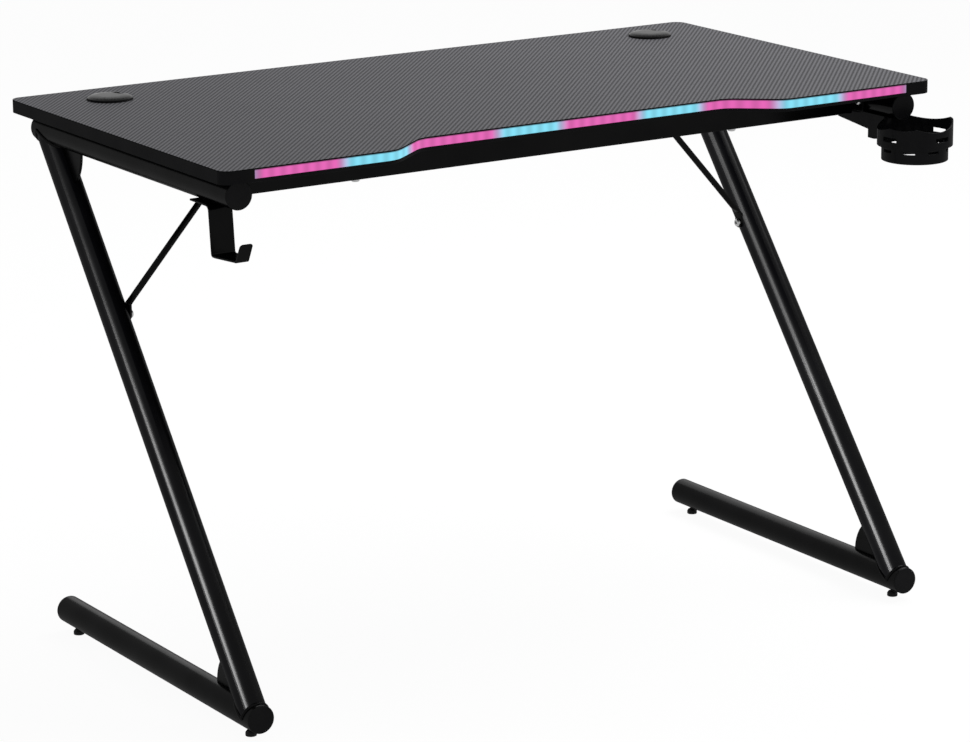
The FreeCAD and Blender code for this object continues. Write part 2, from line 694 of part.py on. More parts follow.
for side, sign in SIDES:
    x = f"{sign}Places.frame_x"
    plate_holes = [cylinder(f"plate_nut_hole_{side}_{i}", nut_hole, "Sizes.tube_diameter", x, y,
                            "Places.upper_z", INWARD[side])
                   for i, y in enumerate(plate_bolt_spots, start=1)]
    deck_holes = [cylinder(f"tube_{name}_{side}_{i}", radius, "Sizes.tube_diameter", x, y,
                           "Places.upper_z", way)
                  for i, (spot_x, y) in enumerate(tube_bolt_spots, start=1) if spot_x == x
                  for name, radius, way in (("bolt_hole", bolt_hole, "+z"), ("tool_hole", tool_hole, "-z"))]
    under_spots = hook_screw_spots if side == "left" else arm_screw_spots
    under_holes = [cylinder(f"under_nut_hole_{side}_{i}", nut_hole, "Sizes.tube_diameter", x, y,
                            "Places.upper_z", "-z") for i, y in enumerate(under_spots, start=1)]
    tube(f"upper_tube_{side}", x, "Places.upper_front", "Places.upper_z",
         plate_holes + deck_holes + under_holes)

    foot_holes = [cylinder(f"foot_hole_{end}_{side}", "Sizes.foot_nut_diameter / 2 + Sizes.fit_gap / 2",
                           "Sizes.tube_diameter", x, f"Places.foot_{end}", "Places.lower_z", "-z")
                  for end in ("front", "rear")]
    tube(f"lower_tube_{side}", x, "Places.lower_front", "Places.lower_z", foot_holes)

    leg_shells = []
    for skin, radius in (("outside", "Places.tube_radius"), ("inside", bore)):
        shell = cylinder(f"leg_{skin}_{side}", radius, "Places.leg_length", "0", "0", "0")
        place(shell, x, "Places.leg_foot_y", "Places.lower_z", -X_AXIS, "Places.leg_lean")
        leg_shells.append(shell)
    copes = [cylinder(f"leg_cope_{end}_{side}", "Places.tube_radius + Sizes.fit_gap / 2",
                      "Sizes.tube_length", x, f"Places.{end}_front", f"Places.{end}_z", "+y")
             for end in ("upper", "lower")]
    brace_hole = cylinder(f"brace_nut_hole_{side}", nut_hole, "Sizes.tube_diameter", x, "Places.brace_y",
                          "Places.brace_bolt_z", INWARD[side])
    node(f"leg_{side}", cut(f"leg_cut_{side}", leg_shells[0], [leg_shells[1]] + copes + [brace_hole]))

    gusset(f"upper_gusset_{side}", x, "Places.leg_head_y - Places.gusset_offset",
           "Places.upper_bottom", 180)
    gusset(f"lower_gusset_{side}", x, "Places.leg_foot_y + Places.gusset_offset",
           "Places.lower_z + Places.tube_radius", 0)
    for level in ("upper", "lower"):
        end_cap(f"{level}_cap_front_{side}", x, f"Places.{level}_front", f"Places.{level}_z", "-y")
        end_cap(f"{level}_cap_rear_{side}", x, f"Places.{level}_rear", f"Places.{level}_z", "+y")

# Levelling feet: a turned foot with a stem that screws up and down in a nut in the lower tube

foot_spots = [(side, end, f"{sign}Places.frame_x", f"Places.foot_{end}") for side, sign in SIDES
              for end in ("front", "rear")]
for side, end, x, y in foot_spots:
    foot = new_body(f"foot_{end}_{side}")
    outline = new_sketch(foot, "XZ", f"foot_outline_{end}_{side}")
    draw_polygon(outline, [("0", "0"), ("Sizes.foot_diameter / 2", "0"),
                           ("Sizes.foot_diameter / 2", "Sizes.foot_rim"),
                           ("Sizes.foot_neck / 2", "Sizes.foot_pad"),
                           ("Sizes.foot_stem / 2", "Sizes.foot_pad"),
                           ("Sizes.foot_stem / 2", "Sizes.foot_pad + Sizes.foot_stem_length"),
                           ("0", "Sizes.foot_pad + Sizes.foot_stem_length")])
    add_turned(foot, outline, f"foot_turned_{end}_{side}")
    node(f"levelling_foot_{end}_{side}", place(foot, x, y, "0"))

# Cross beams: rectangular tube between two end plates that fit the upper tubes

for beam in ("front", "rear"):
    body = new_body(f"{beam}_beam_body")
    outline = new_sketch(body, "YZ", f"{beam}_beam_outline")
    middle = (f"Places.{beam}_beam_y", "Places.under - Sizes.beam_height / 2")
    draw_polygon(outline, rectangle(*middle, "Sizes.beam_width", "Sizes.beam_height"))
    draw_polygon(outline, rectangle(*middle, "Sizes.beam_width - 2 * Sizes.beam_wall",
                                    "Sizes.beam_height - 2 * Sizes.beam_wall"))
    add_pad(body, outline, f"{beam}_beam_tube", "2 * Places.plate_x", symmetric=True)
    holes = [cylinder(f"{beam}_beam_hole_{i}", bolt_hole, "2 * Sizes.beam_height", x, y,
                      "Places.under - 1.5 * Sizes.beam_height")
             for i, (x, y) in enumerate(deck_bolt_spots, start=1) if y == f"Places.{beam}_beam_y"]
    node(f"{beam}_beam", cut(f"{beam}_beam_cut", body, holes))
    for side, sign in SIDES:
        reach = "Sizes.plate_thickness + Sizes.plate_lap"
        start = "Places.plate_x" if side == "right" else f"-Places.plate_x - ({reach})"
        slab = box(f"{beam}_plate_slab_{side}", reach, "Sizes.plate_length", "Sizes.plate_height", start,
                   f"Places.{beam}_beam_y - Sizes.plate_length / 2",
                   "Places.upper_z - Sizes.plate_height / 2")
        seat = cylinder(f"{beam}_plate_seat_{side}", "Places.tube_radius + Sizes.fit_gap",
                        "Sizes.tube_length", f"{sign}Places.frame_x", "Places.upper_front",
                        "Places.upper_z", "+y")
        holes = [cylinder(f"{beam}_plate_hole_{side}_{i}", bolt_hole, "2 * Sizes.tube_diameter",
                          f"{sign}Places.frame_x", y, "Places.upper_z", INWARD[side])
                 for i, y in enumerate(plate_bolt_spots, start=1) if beam in y]
        node(f"{beam}_beam_plate_{side}", cut(f"{beam}_plate_cut_{side}", slab, [seat] + holes))

# Diagonal braces: a round rod squeezed flat at both ends, bolted to the leg and screwed to the deck

def flat_section(middle, along, half_width, half_thickness):
    """The rectangle across a flattened end, as four corners in order."""
    over = along.cross(Y_AXIS)
    signs = ((1, 1), (-1, 1), (-1, -1), (1, -1))
    corners = [middle + Y_AXIS * (a * half_width) + over * (b * half_thickness) for a, b in signs]
    return Part.makePolygon(corners + corners[:1])


def round_section(middle, along, radius):
    """The rod's circle as four arcs that start at the same corners as the rectangle."""
    over = along.cross(Y_AXIS)

    def rim(degrees):
        turn = math.radians(degrees)
        return middle + Y_AXIS * (radius * math.cos(turn)) + over * (radius * math.sin(turn))

    return Part.Wire([Part.Arc(rim(a), rim(a + 45), rim(a + 90)).toShape() for a in (45, 135, 225, 315)])


def tongue(bolt_spot, end, along, across, hole_radius):
    """A flat end with a round tip about its bolt hole, between the bolt and the bend."""
    half_width, sheet = num("Sizes.brace_tongue_width / 2"), num("Sizes.brace_tongue")
    over = along.cross(across)
    base = bolt_spot - over * (sheet / 2)
    corners = [base + across * half_width, base + across * half_width + along * end,
               base - across * half_width + along * end, base - across * half_width]
    edges = [Part.makeLine(a, b) for a, b in zip(corners, corners[1:])]
    edges.append(Part.Arc(corners[3], base - along * half_width, corners[0]).toShape())
    plate = Part.Face(Part.Wire(edges)).extrude(over * sheet)
    return plate.cut(Part.makeCylinder(hole_radius, 3 * sheet, bolt_spot - over * (1.5 * sheet), over))


def brace():
    """The right-hand brace."""
    half_sheet, squeeze = num("Sizes.brace_tongue / 2"), num("Sizes.brace_squeeze")
    half_width, radius = num("Sizes.brace_tongue_width / 2"), num("Sizes.brace_diameter / 2")
    reach = num("Sizes.brace_bolt_to_bend")
    hole = num(bolt_hole)
    low_bolt = point("Places.brace_leg_x - Sizes.fit_gap - Sizes.brace_tongue / 2", "Places.brace_y",
                     "Places.brace_bolt_z")
    high_bolt = point("Places.brace_screw_x", "Places.brace_y", "Places.under - Sizes.brace_tongue / 2")
    low, high = low_bolt + Z_AXIS * reach, high_bolt + X_AXIS * reach
    along = (high - low).normalize()
    rod_low, rod_high = low + along * squeeze, high - along * squeeze
    pieces = [
        tongue(low_bolt, reach, Z_AXIS, Y_AXIS, hole),
        Part.makeLoft([flat_section(low, Z_AXIS, half_width, half_sheet),
                       round_section(rod_low, along, radius)], True),
        Part.makeCylinder(radius, (rod_high - rod_low).Length, rod_low, along),
        Part.makeLoft([round_section(rod_high, along, radius),
                       flat_section(high, -X_AXIS, half_width, half_sheet)], True),
        tongue(high_bolt, reach, X_AXIS, Y_AXIS, hole),
    ]
    return pieces[0].fuse(pieces[1:]).removeSplitter()


doc.recompute()
right_brace = brace()
for side, shape in (("left", right_brace.mirror(Vector(), X_AXIS)), ("right", right_brace)):
    rod = doc.addObject("Part::Feature", f"brace_{side}")
    rod.Shape = shape
    node(f"brace_{side}", rod)

# Headphone hook: one bent strip under the left upper tube, its shelf tapered to an upturned lip

hook = new_body("hook_body")
outline = new_sketch(hook, "YZ", "hook_outline")
hook_top, hook_floor = "Places.upper_bottom", "Places.upper_bottom - Sizes.hook_drop"
hook_rear, hook_nose = "Places.hook_y + Sizes.hook_flange", "Places.hook_heel_y - Sizes.hook_shelf"
lean = "Sizes.hook_lip * tan(Sizes.hook_lip_lean)"
draw_polygon(outline, [
    (hook_rear, hook_top), ("Places.hook_y", hook_top),
    ("Places.hook_heel_y", f"{hook_floor} + Sizes.hook_sheet"),
    (f"{hook_nose} + Sizes.hook_sheet", f"{hook_floor} + Sizes.hook_sheet"),
    (f"{hook_nose} + Sizes.hook_sheet - {lean}", f"{hook_floor} + Sizes.hook_lip"),
    (f"{hook_nose} - {lean}", f"{hook_floor} + Sizes.hook_lip"), (hook_nose, hook_floor),
    ("Places.hook_heel_y + Sizes.hook_sheet", hook_floor),
    ("Places.hook_y + Sizes.hook_sheet", f"{hook_top} - Sizes.hook_sheet"),
    (hook_rear, f"{hook_top} - Sizes.hook_sheet")])
strip = add_pad(hook, outline, "hook_strip", "Sizes.hook_width", symmetric=True)
outer_bend, inner_bend = "Sizes.hook_bend + Sizes.hook_sheet", "Sizes.hook_bend"
HOOK_BENDS = [
    ("hook_top_outer", "Sizes.hook_top_bend + Sizes.hook_sheet", "Places.hook_y", hook_top),
    ("hook_top_inner", "Sizes.hook_top_bend", "Places.hook_y + Sizes.hook_sheet",
     f"{hook_top} - Sizes.hook_sheet"),
    ("hook_heel_outer", outer_bend, "Places.hook_heel_y + Sizes.hook_sheet", hook_floor),
    ("hook_heel_inner", inner_bend, "Places.hook_heel_y", f"{hook_floor} + Sizes.hook_sheet"),
    ("hook_toe_outer", outer_bend, hook_nose, hook_floor),
    ("hook_toe_inner", inner_bend, f"{hook_nose} + Sizes.hook_sheet", f"{hook_floor} + Sizes.hook_sheet")]
for name, radius, y, z in HOOK_BENDS:
    bend_y, bend_z = num(y), num(z)
    strip = round_edges(hook, strip, name, radius,
                        lambda e, p: math.hypot(p.y - bend_y, p.z - bend_z) < 0.01 and abs(p.x) < 0.01)
taper = new_sketch(hook, "XY", "hook_taper_outline")
taper_start = "Places.hook_heel_y - 3 * Sizes.hook_bend"
taper_end = f"{hook_nose} + Sizes.hook_sheet + Sizes.hook_bend"
taper_right = [("Sizes.hook_width / 2", taper_start), ("Sizes.hook_lip_width / 2", taper_end),
               ("Sizes.hook_lip_width / 2", f"{hook_nose} - Sizes.hook_lip"),
               ("Sizes.hook_width", f"{hook_nose} - Sizes.hook_lip"), ("Sizes.hook_width", taper_start)]
draw_polygon(taper, taper_right)
draw_polygon(taper, [(f"-{x}", y) for x, y in reversed(taper_right)])
strip = add_pocket(hook, taper, "hook_taper")
lip_z, lip_x = num(f"{hook_floor} + Sizes.hook_lip"), num("Sizes.hook_lip_width / 2")
strip = round_edges(hook, strip, "hook_lip_corners", "Sizes.hook_lip_round",
                    lambda e, p: abs(p.z - lip_z) < 0.01 and abs(abs(p.x) - lip_x) < 0.01)
holes = new_sketch(hook, "XY", "hook_screw_holes")
for y in hook_screw_spots:
    draw_circle(holes, "0", y, bolt_hole)
add_pocket(hook, holes, "hook_holes")
node("headphone_hook", place(hook, "-Places.frame_x", "0", "0"))

# Cup holder: a two-tier moulded basket with a scooped rim, windows and slots, on a channel arm

cup = new_body("cup_body")
outline = new_sketch(cup, "XZ", "cup_outline")
ring, basket = "Sizes.cup_ring / 2", "Sizes.cup_basket / 2"
ledge = "Sizes.cup_step + Sizes.cup_floor"
draw_polygon(outline, [
    ("Sizes.cup_drain / 2", "0"), (basket, "0"), (basket, "Sizes.cup_step"), (ring, "Sizes.cup_step"),
    (ring, "Sizes.cup_rim"), (f"{ring} - Sizes.cup_wall", "Sizes.cup_rim"),
    (f"{ring} - Sizes.cup_wall", ledge),
    (f"{basket} - Sizes.cup_wall", ledge), (f"{basket} - Sizes.cup_wall", "Sizes.cup_floor"),
    ("Sizes.cup_drain / 2", "Sizes.cup_floor")])
add_turned(cup, outline, "cup_turned")
for name, step in (("front", "0"), ("side", "-1"), ("inner", "-2"), ("outer", "2")):
    scoop = new_sketch(cup, "XZ", f"cup_{name}_scoop_outline", turn=num(f"{step} * Sizes.cup_scoop_turn"))
    draw_circle(scoop, "0", f"Sizes.cup_rim - Sizes.cup_{name}_scoop + Sizes.cup_scoop_radius",
                "Sizes.cup_scoop_radius")
    add_pocket(cup, scoop, f"cup_{name}_scoop_cut", "Sizes.cup_ring", reverse=True)
for name, turn in (("window", "Sizes.cup_window_turn"), ("slot", "-Sizes.cup_slot_turn")):
    opening = new_sketch(cup, "XZ", f"cup_{name}_outline", turn=num(turn))
    draw_polygon(opening, rectangle("0", f"Sizes.cup_{name}_rise", f"Sizes.cup_{name}_width",
                                    f"Sizes.cup_{name}_height"))
    opened = add_pocket(cup, opening, f"cup_{name}", "Sizes.cup_ring", reverse=True)
    add_ring_of(cup, opened, f"cup_{name}s_all", f"Sizes.cup_{name}s")
arm = new_sketch(cup, "YZ", "arm_outline")
arm_top, tube_line = "Sizes.cup_below_tube + Sizes.arm_saddle", "Sizes.cup_below_tube"
arm_start = f"{ring} - 2 * Sizes.cup_wall"
draw_polygon(arm, [
    (arm_start, arm_top), ("Sizes.arm_length", arm_top),
    ("Sizes.arm_length", f"{tube_line} - Sizes.arm_end_depth"),
    ("Sizes.arm_rib_at", f"{tube_line} - Sizes.arm_root_depth"),
    ("Sizes.arm_rib_at", f"{tube_line} - Sizes.arm_rib_depth"),
    ("Sizes.arm_rib_at - Sizes.arm_rib_length", f"{tube_line} - Sizes.arm_rib_depth"), (arm_start, ledge)])
add_pad(cup, arm, "arm_block", "Sizes.arm_width", symmetric=True)
well = new_sketch(cup, "XY", "cup_well_outline", ledge)
draw_circle(well, "0", "0", f"{ring} - Sizes.cup_wall")
add_pocket(cup, well, "cup_well", "Sizes.cup_rim", reverse=True)
channel = new_sketch(cup, "YZ", "arm_channel_outline")
channel_top = f"{tube_line} - Sizes.arm_plate"
for start, end in ((f"{ring} + Sizes.arm_wall", "Sizes.arm_rib_at - Sizes.arm_rib_length"),
                   ("Sizes.arm_rib_at + Sizes.arm_wall", "Sizes.arm_length - Sizes.arm_wall")):
    draw_polygon(channel, [(start, "0"), (end, "0"), (end, channel_top), (start, channel_top)])
add_pocket(cup, channel, "arm_channel", "Sizes.arm_width - 2 * Sizes.arm_wall", symmetric=True)
holes = new_sketch(cup, "XY", "arm_screw_holes")
for y in arm_screw_spots:
    draw_circle(holes, "0", f"{y} - Places.cup_y", bolt_hole)
add_pocket(cup, holes, "arm_holes")
place(cup, "Places.frame_x", "Places.cup_y", "Places.cup_z")
saddle = cylinder("cup_saddle", "Places.tube_radius + Sizes.fit_gap", "Sizes.tube_length", "Places.frame_x",
                  "Places.upper_front - Sizes.end_cap_thickness - Sizes.run_gap", "Places.upper_z", "+y")
node("cup_holder", cut("cup_holder_cut", cup, [saddle]))

# Light controller: a tray screwed to the deck behind the front beam, with board, socket, button and cover

case = new_body("controller_body")
outline = new_sketch(case, "XY", "case_outline", "-Sizes.controller_height")
draw_polygon(outline, rectangle("0", "0", "Sizes.controller_length", "Sizes.controller_width"))
add_pad(case, outline, "case_block", "Sizes.controller_height")
ears = new_sketch(case, "XY", "case_ears_outline", "-Sizes.controller_ear_thickness")
draw_polygon(ears, rectangle("0", "0", "Sizes.controller_length + 2 * Sizes.controller_ear",
                             "Sizes.controller_ear"))
add_pad(case, ears, "case_ears", "Sizes.controller_ear_thickness")
room_length = "Sizes.controller_length - 2 * Sizes.controller_wall"
room_width = "Sizes.controller_width - 2 * Sizes.controller_wall"
room = new_sketch(case, "XY", "case_room_outline", "-Sizes.controller_height")
draw_polygon(room, rectangle("0", "0", room_length, room_width))
add_pocket(case, room, "case_room", "Sizes.controller_height - Sizes.controller_wall", reverse=True)
holes = new_sketch(case, "XY", "case_holes_outline")
for x, y in controller_screw_spots:
    draw_circle(holes, f"{x} - Sizes.controller_x", "0", "Sizes.controller_screw / 2 + Sizes.run_gap")
draw_circle(holes, "0", "Places.lead_y - Places.controller_y", "Sizes.lead_diameter / 2 + Sizes.run_gap")
add_pocket(case, holes, "case_holes")
board_top = "Places.board_z + Sizes.circuit_board"
socket_x = "-Sizes.button_x"
mouth = new_sketch(case, "XZ", "case_mouth_outline")
draw_polygon(mouth, rectangle(socket_x, f"{board_top} + Sizes.socket_height / 2 - Places.under",
                              "Sizes.socket_width + 2 * Sizes.fit_gap",
                              "Sizes.socket_height + 2 * Sizes.fit_gap"))
add_pocket(case, mouth, "case_mouth", "Sizes.controller_width")
node("controller_case", place(case, "Sizes.controller_x", "Places.controller_y", "Places.under"))

cover = new_body("cover_body")
outline = new_sketch(cover, "XY", "cover_outline")
draw_polygon(outline, rectangle("0", "0", f"{room_length} - 2 * Sizes.fit_gap",
                                f"{room_width} - 2 * Sizes.fit_gap"))
draw_circle(outline, "Sizes.button_x", "0", "Sizes.button_diameter / 2 + Sizes.run_gap")
add_pad(cover, outline, "cover_plate", "Sizes.cover_thickness")
node("controller_cover", place(cover, "Sizes.controller_x", "Places.controller_y", "Places.controller_z"))

board = box("circuit_slab", f"{room_length} - 2 * Sizes.fit_gap", f"{room_width} - 2 * Sizes.fit_gap",
            "Sizes.circuit_board", f"Sizes.controller_x - ({room_length}) / 2 + Sizes.fit_gap",
            f"Places.controller_y - ({room_width}) / 2 + Sizes.fit_gap", "Places.board_z")
switch = box("circuit_switch", "Sizes.button_diameter", "Sizes.button_diameter", "Sizes.switch_height",
             "Sizes.controller_x + Sizes.button_x - Sizes.button_diameter / 2",
             "Places.controller_y - Sizes.button_diameter / 2", "Places.board_z - Sizes.switch_height")
node("controller_board", joined("circuit_board_whole", [board, switch]))

socket = new_body("socket_body")
outline = new_sketch(socket, "XZ", "socket_outline")
draw_polygon(outline, rectangle("0", "Sizes.socket_height / 2", "Sizes.socket_width",
                                "Sizes.socket_height"))
add_pad(socket, outline, "socket_shell", "Sizes.socket_depth")
mouth = new_sketch(socket, "XZ", "socket_mouth_outline")
draw_circle(mouth, "0", "Sizes.socket_height / 2", "Sizes.socket_bore / 2")
add_pocket(socket, mouth, "socket_mouth", "Sizes.socket_bore_depth", reverse=True)
node("power_socket", place(socket, f"Sizes.controller_x + {socket_x}",
                           "Places.controller_y + Sizes.controller_width / 2", board_top))

button = new_body("button_body")
outline = new_sketch(button, "XZ", "button_outline")
flange_bottom = "Sizes.cover_thickness + Sizes.fit_gap"
flange_rim = "Sizes.button_diameter / 2 + Sizes.cover_thickness"
draw_polygon(outline, [("0", "-Sizes.button_proud"), ("Sizes.button_diameter / 2", "-Sizes.button_proud"),
                       ("Sizes.button_diameter / 2", flange_bottom), (flange_rim, flange_bottom),
                       (flange_rim, f"{flange_bottom} + Sizes.button_flange"),
                       ("0", f"{flange_bottom} + Sizes.button_flange")])
add_turned(button, outline, "button_turned")
node("light_button", place(button, "Sizes.controller_x + Sizes.button_x", "Places.controller_y",
                           "Places.controller_z"))


def lead():
    """The lead from the tape through the deck's routed slot and down on to the circuit board."""
    start = point("Sizes.controller_x", "Places.lead_start", "Places.strip_middle")
    turn = num("Sizes.lead_bend")
    corner = point("Sizes.controller_x", "Places.lead_y", "Places.strip_middle")
    end = point("Sizes.controller_x", "Places.lead_y", f"{board_top} + Sizes.fit_gap")
    bend_start, bend_end = corner - Y_AXIS * turn, corner - Z_AXIS * turn
    centre = corner - Y_AXIS * turn - Z_AXIS * turn
    bend_middle = centre + (Y_AXIS + Z_AXIS).normalize() * turn
    bend = Part.Arc(bend_start, bend_middle, bend_end).toShape()
    path = Part.Wire([Part.makeLine(start, bend_start), bend, Part.makeLine(bend_end, end)])
    section = prism(num("Sizes.lead_diameter"), turn, start, Y_AXIS).Faces
    return path.makePipeShell([min(section, key=lambda face: face.CenterOfMass.y).OuterWire], True, False)


cable = doc.addObject("Part::Feature", "lead")
cable.Shape = lead()
node("light_lead", cable)

# Fasteners: bolts, rivet nuts in the tubes, threaded inserts in the deck and nuts for the feet

def fastener(spot, direction, grip, shank, head, head_height):
    """A bolt whose head bears at a spot and whose shank runs on in a direction."""
    return prism(head, head_height, spot - direction * head_height, direction).fuse(
        prism(shank, grip, spot, direction)).removeSplitter()


def frame_bolt(spot, direction, grip):
    return fastener(spot, direction, num(f"{grip} + Sizes.bolt_reach"), num("Sizes.bolt_diameter"),
                    num("Sizes.bolt_head"), num("Sizes.bolt_head_height"))


def sleeve(spot, direction, outer, inner, length):
    """A round nut that starts at a spot and runs on in a direction."""
    return prism(outer, length, spot, direction).cut(prism(inner, length, spot, direction))


def rivet_nut(spot, direction, length="Sizes.nut_length"):
    return sleeve(spot, direction, num("Sizes.nut_diameter"), num("Sizes.bolt_diameter + Sizes.fit_gap"),
                  num(length))


OUTWARD = {"left": -X_AXIS, "right": X_AXIS}
plate_spots = [(side, point(f"{sign}Places.plate_x", y, "Places.upper_z")) for side, sign in SIDES
               for y in plate_bolt_spots]
leg_spots = [(side, point(f"{sign}(Places.brace_leg_x - Sizes.fit_gap - Sizes.brace_tongue)",
                          "Places.brace_y", "Places.brace_bolt_z")) for side, sign in SIDES]
hook_spots = [point("-Places.frame_x", y, "Places.upper_bottom - Sizes.hook_sheet")
              for y in hook_screw_spots]
arm_spots = [point("Places.frame_x", y, "Places.upper_bottom - Sizes.arm_plate") for y in arm_screw_spots]

group("beam_plate_bolts", [frame_bolt(spot, OUTWARD[side], "Sizes.plate_thickness")
                           for side, spot in plate_spots])
group("beam_deck_bolts", [frame_bolt(point(x, y, "Places.beam_bottom"), Z_AXIS, "Sizes.beam_height")
                          for x, y in deck_bolt_spots])
group("tube_deck_bolts", [frame_bolt(point(x, y, "Places.tube_bolt_seat"), Z_AXIS,
                                     "Places.under - Places.tube_bolt_seat") for x, y in tube_bolt_spots])
group("brace_bolts", [frame_bolt(spot, OUTWARD[side], "Sizes.brace_tongue") for side, spot in leg_spots])
group("brace_deck_bolts", [frame_bolt(point(x, y, "Places.under - Sizes.brace_tongue"), Z_AXIS,
                                      "Sizes.brace_tongue") for x, y in brace_screw_spots])
group("hook_bolts", [frame_bolt(spot, Z_AXIS, "Sizes.hook_sheet") for spot in hook_spots])
group("cup_holder_bolts", [frame_bolt(spot, Z_AXIS, "Sizes.arm_plate") for spot in arm_spots])
group("controller_screws", [fastener(point(x, y, "Places.under - Sizes.controller_ear_thickness"), Z_AXIS,
                                     num("Sizes.controller_ear_thickness + Sizes.controller_screw_reach"),
                                     num("Sizes.controller_screw"), num("Sizes.controller_screw_head"),
                                     num("Sizes.controller_screw_head_height"))
                            for x, y in controller_screw_spots])

nut_x = {side: num(f"{sign}(Places.frame_x - Places.tube_radius + Places.nut_sink)")
         for side, sign in SIDES}
nut_z = num("Places.upper_bottom + Places.nut_sink")
side_nuts = [rivet_nut(Vector(nut_x[side], spot.y, spot.z), OUTWARD[side])
             for side, spot in plate_spots + leg_spots]
under_nuts = [rivet_nut(Vector(spot.x, spot.y, nut_z), Z_AXIS) for spot in hook_spots + arm_spots]
group("tube_rivet_nuts", side_nuts + under_nuts)
group("deck_inserts", [rivet_nut(point(x, y, "Places.under"), Z_AXIS, "Sizes.insert_length")
                       for x, y in insert_spots])
group("foot_nuts", [sleeve(point(x, y, "Sizes.foot_height"), Z_AXIS, num("Sizes.foot_nut_diameter"),
                           num("Sizes.foot_stem + 2 * Sizes.run_gap"), num("Sizes.foot_nut_length"))
                    for side, end, x, y in foot_spots])

# Every object has to be sound before any piece is written

doc.recompute()
for made in doc.Objects:
    if "Invalid" in made.State or "Error" in made.State:
        raise ValueError(f"{made.Name} did not rebuild")
for made in nodes:
    if made.Shape.isNull() or not made.Shape.isValid():
        raise ValueError(f"{made.Label} has no sound shape")
for made in nodes:
    made.Shape.exportStep(f"parts/{made.Label}.step")
    print(made.Label, len(made.Shape.Solids), round(made.Shape.Volume, 1))
print("nodes", len(nodes))
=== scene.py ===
import json
import math

import bmesh
import bpy
from mathutils import Matrix, Vector


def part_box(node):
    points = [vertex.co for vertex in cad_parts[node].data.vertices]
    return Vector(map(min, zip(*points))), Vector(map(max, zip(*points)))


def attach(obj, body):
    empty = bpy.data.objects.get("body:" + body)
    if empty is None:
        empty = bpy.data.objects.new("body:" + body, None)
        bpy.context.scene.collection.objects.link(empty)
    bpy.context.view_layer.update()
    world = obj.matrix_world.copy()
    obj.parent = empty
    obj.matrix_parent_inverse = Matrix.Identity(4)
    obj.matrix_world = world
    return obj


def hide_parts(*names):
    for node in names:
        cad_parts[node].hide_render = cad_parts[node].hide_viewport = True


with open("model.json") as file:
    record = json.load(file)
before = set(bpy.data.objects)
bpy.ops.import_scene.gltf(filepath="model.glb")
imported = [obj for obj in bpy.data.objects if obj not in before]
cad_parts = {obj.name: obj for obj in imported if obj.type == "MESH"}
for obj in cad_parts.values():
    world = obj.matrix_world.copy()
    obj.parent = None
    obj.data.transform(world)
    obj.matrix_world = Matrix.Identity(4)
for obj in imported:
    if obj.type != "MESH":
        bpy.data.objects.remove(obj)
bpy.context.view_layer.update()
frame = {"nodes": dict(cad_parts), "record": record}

# Side frames: two Z-shaped frames of round steel tube, an upper tube under the deck, a sloping leg
# and a lower tube on the floor. The leg's ends are coped to the tubes and welded, and the whole frame
# is coated with black powder, which flows out to a fine orange peel.

SIDES = ("left", "right")
PATCH_DETAIL = 3.0
MERGE, CURVED, CREASE = 1e-6, math.radians(0.5), math.radians(35)
bodies = frame["record"]["behaviour"]["bodies"]
node_body = {node: body for body, members in bodies.items() for node in members}


class Shade:
    """One output of a shader node, so that sums on it are written as plain expressions."""

    def __init__(self, tree, socket):
        self.tree, self.socket = tree, socket

    def node(self, kind, sockets, output=0, **settings):
        """Adds a node: its settings first, then the values or links of its sockets."""
        made = self.tree.nodes.new("ShaderNode" + kind)
        for name, setting in settings.items():
            if name == "stops":
                ramp = made.color_ramp.elements
                while len(ramp) < len(setting):
                    ramp.new(1.0)
                for element, (position, colour) in zip(ramp, setting):
                    element.position, element.color = position, (*colour, 1.0)
            else:
                setattr(made, name, setting)
        for name, value in sockets.items():
            if isinstance(value, Shade):
                self.tree.links.new(value.socket, made.inputs[name])
            else:
                made.inputs[name].default_value = value
        return Shade(self.tree, made.outputs[output])

    def maths(self, operation, first, second=0.0):
        """Adds a Math node."""
        return self.node("Math", {0: first, 1: second}, operation=operation)

    def __add__(self, other):
        return self.maths("ADD", self, other)

    def __sub__(self, other):
        return self.maths("SUBTRACT", self, other)

    def __rsub__(self, other):
        return self.maths("SUBTRACT", other, self)

    def __mul__(self, other):
        return self.maths("MULTIPLY", self, other)

    def __truediv__(self, other):
        return self.maths("DIVIDE", self, other)

    def __rtruediv__(self, other):
        return self.maths("DIVIDE", other, self)

    __radd__, __rmul__ = __add__, __mul__


def new_finish(name, constants):
    """A material with its constant sockets set, and the Object coordinates that its pattern starts from."""
    material = bpy.data.materials.new(name)
    material.use_nodes = True
    tree = material.node_tree
    for socket, value in constants.items():
        tree.nodes["Principled BSDF"].inputs[socket].default_value = value
    start = tree.nodes.new("ShaderNodeTexCoord")
    return material, Shade(tree, start.outputs["Object"])


def feed(material, links):
    """Links what changes over a surface to the material's shader."""
    tree = material.node_tree
    for socket, shade in links.items():
        tree.links.new(shade.socket, tree.nodes["Principled BSDF"].inputs[socket])


def noise(spot, grain, detail=2.0):
    """Soft noise whose features are about as large as the grain, in metres."""
    return spot.node("TexNoise", {"Vector": spot, "Scale": 1 / grain, "Detail": detail})


def tone(share, dark, light):
    """A colour between two, by a share from 0 to 1."""
    return share.node("ValToRGB", {"Fac": share}, stops=[(0.0, dark), (1.0, light)])


def between(low, high, share):
    """A number between two, by a share from 0 to 1."""
    return low + (high - low) * share


def relief(height, depth, strength):
    """Bump of a real depth, in metres, from a height between 0 and 1."""
    return height.node("Bump", {"Height": height, "Distance": depth, "Strength": strength})


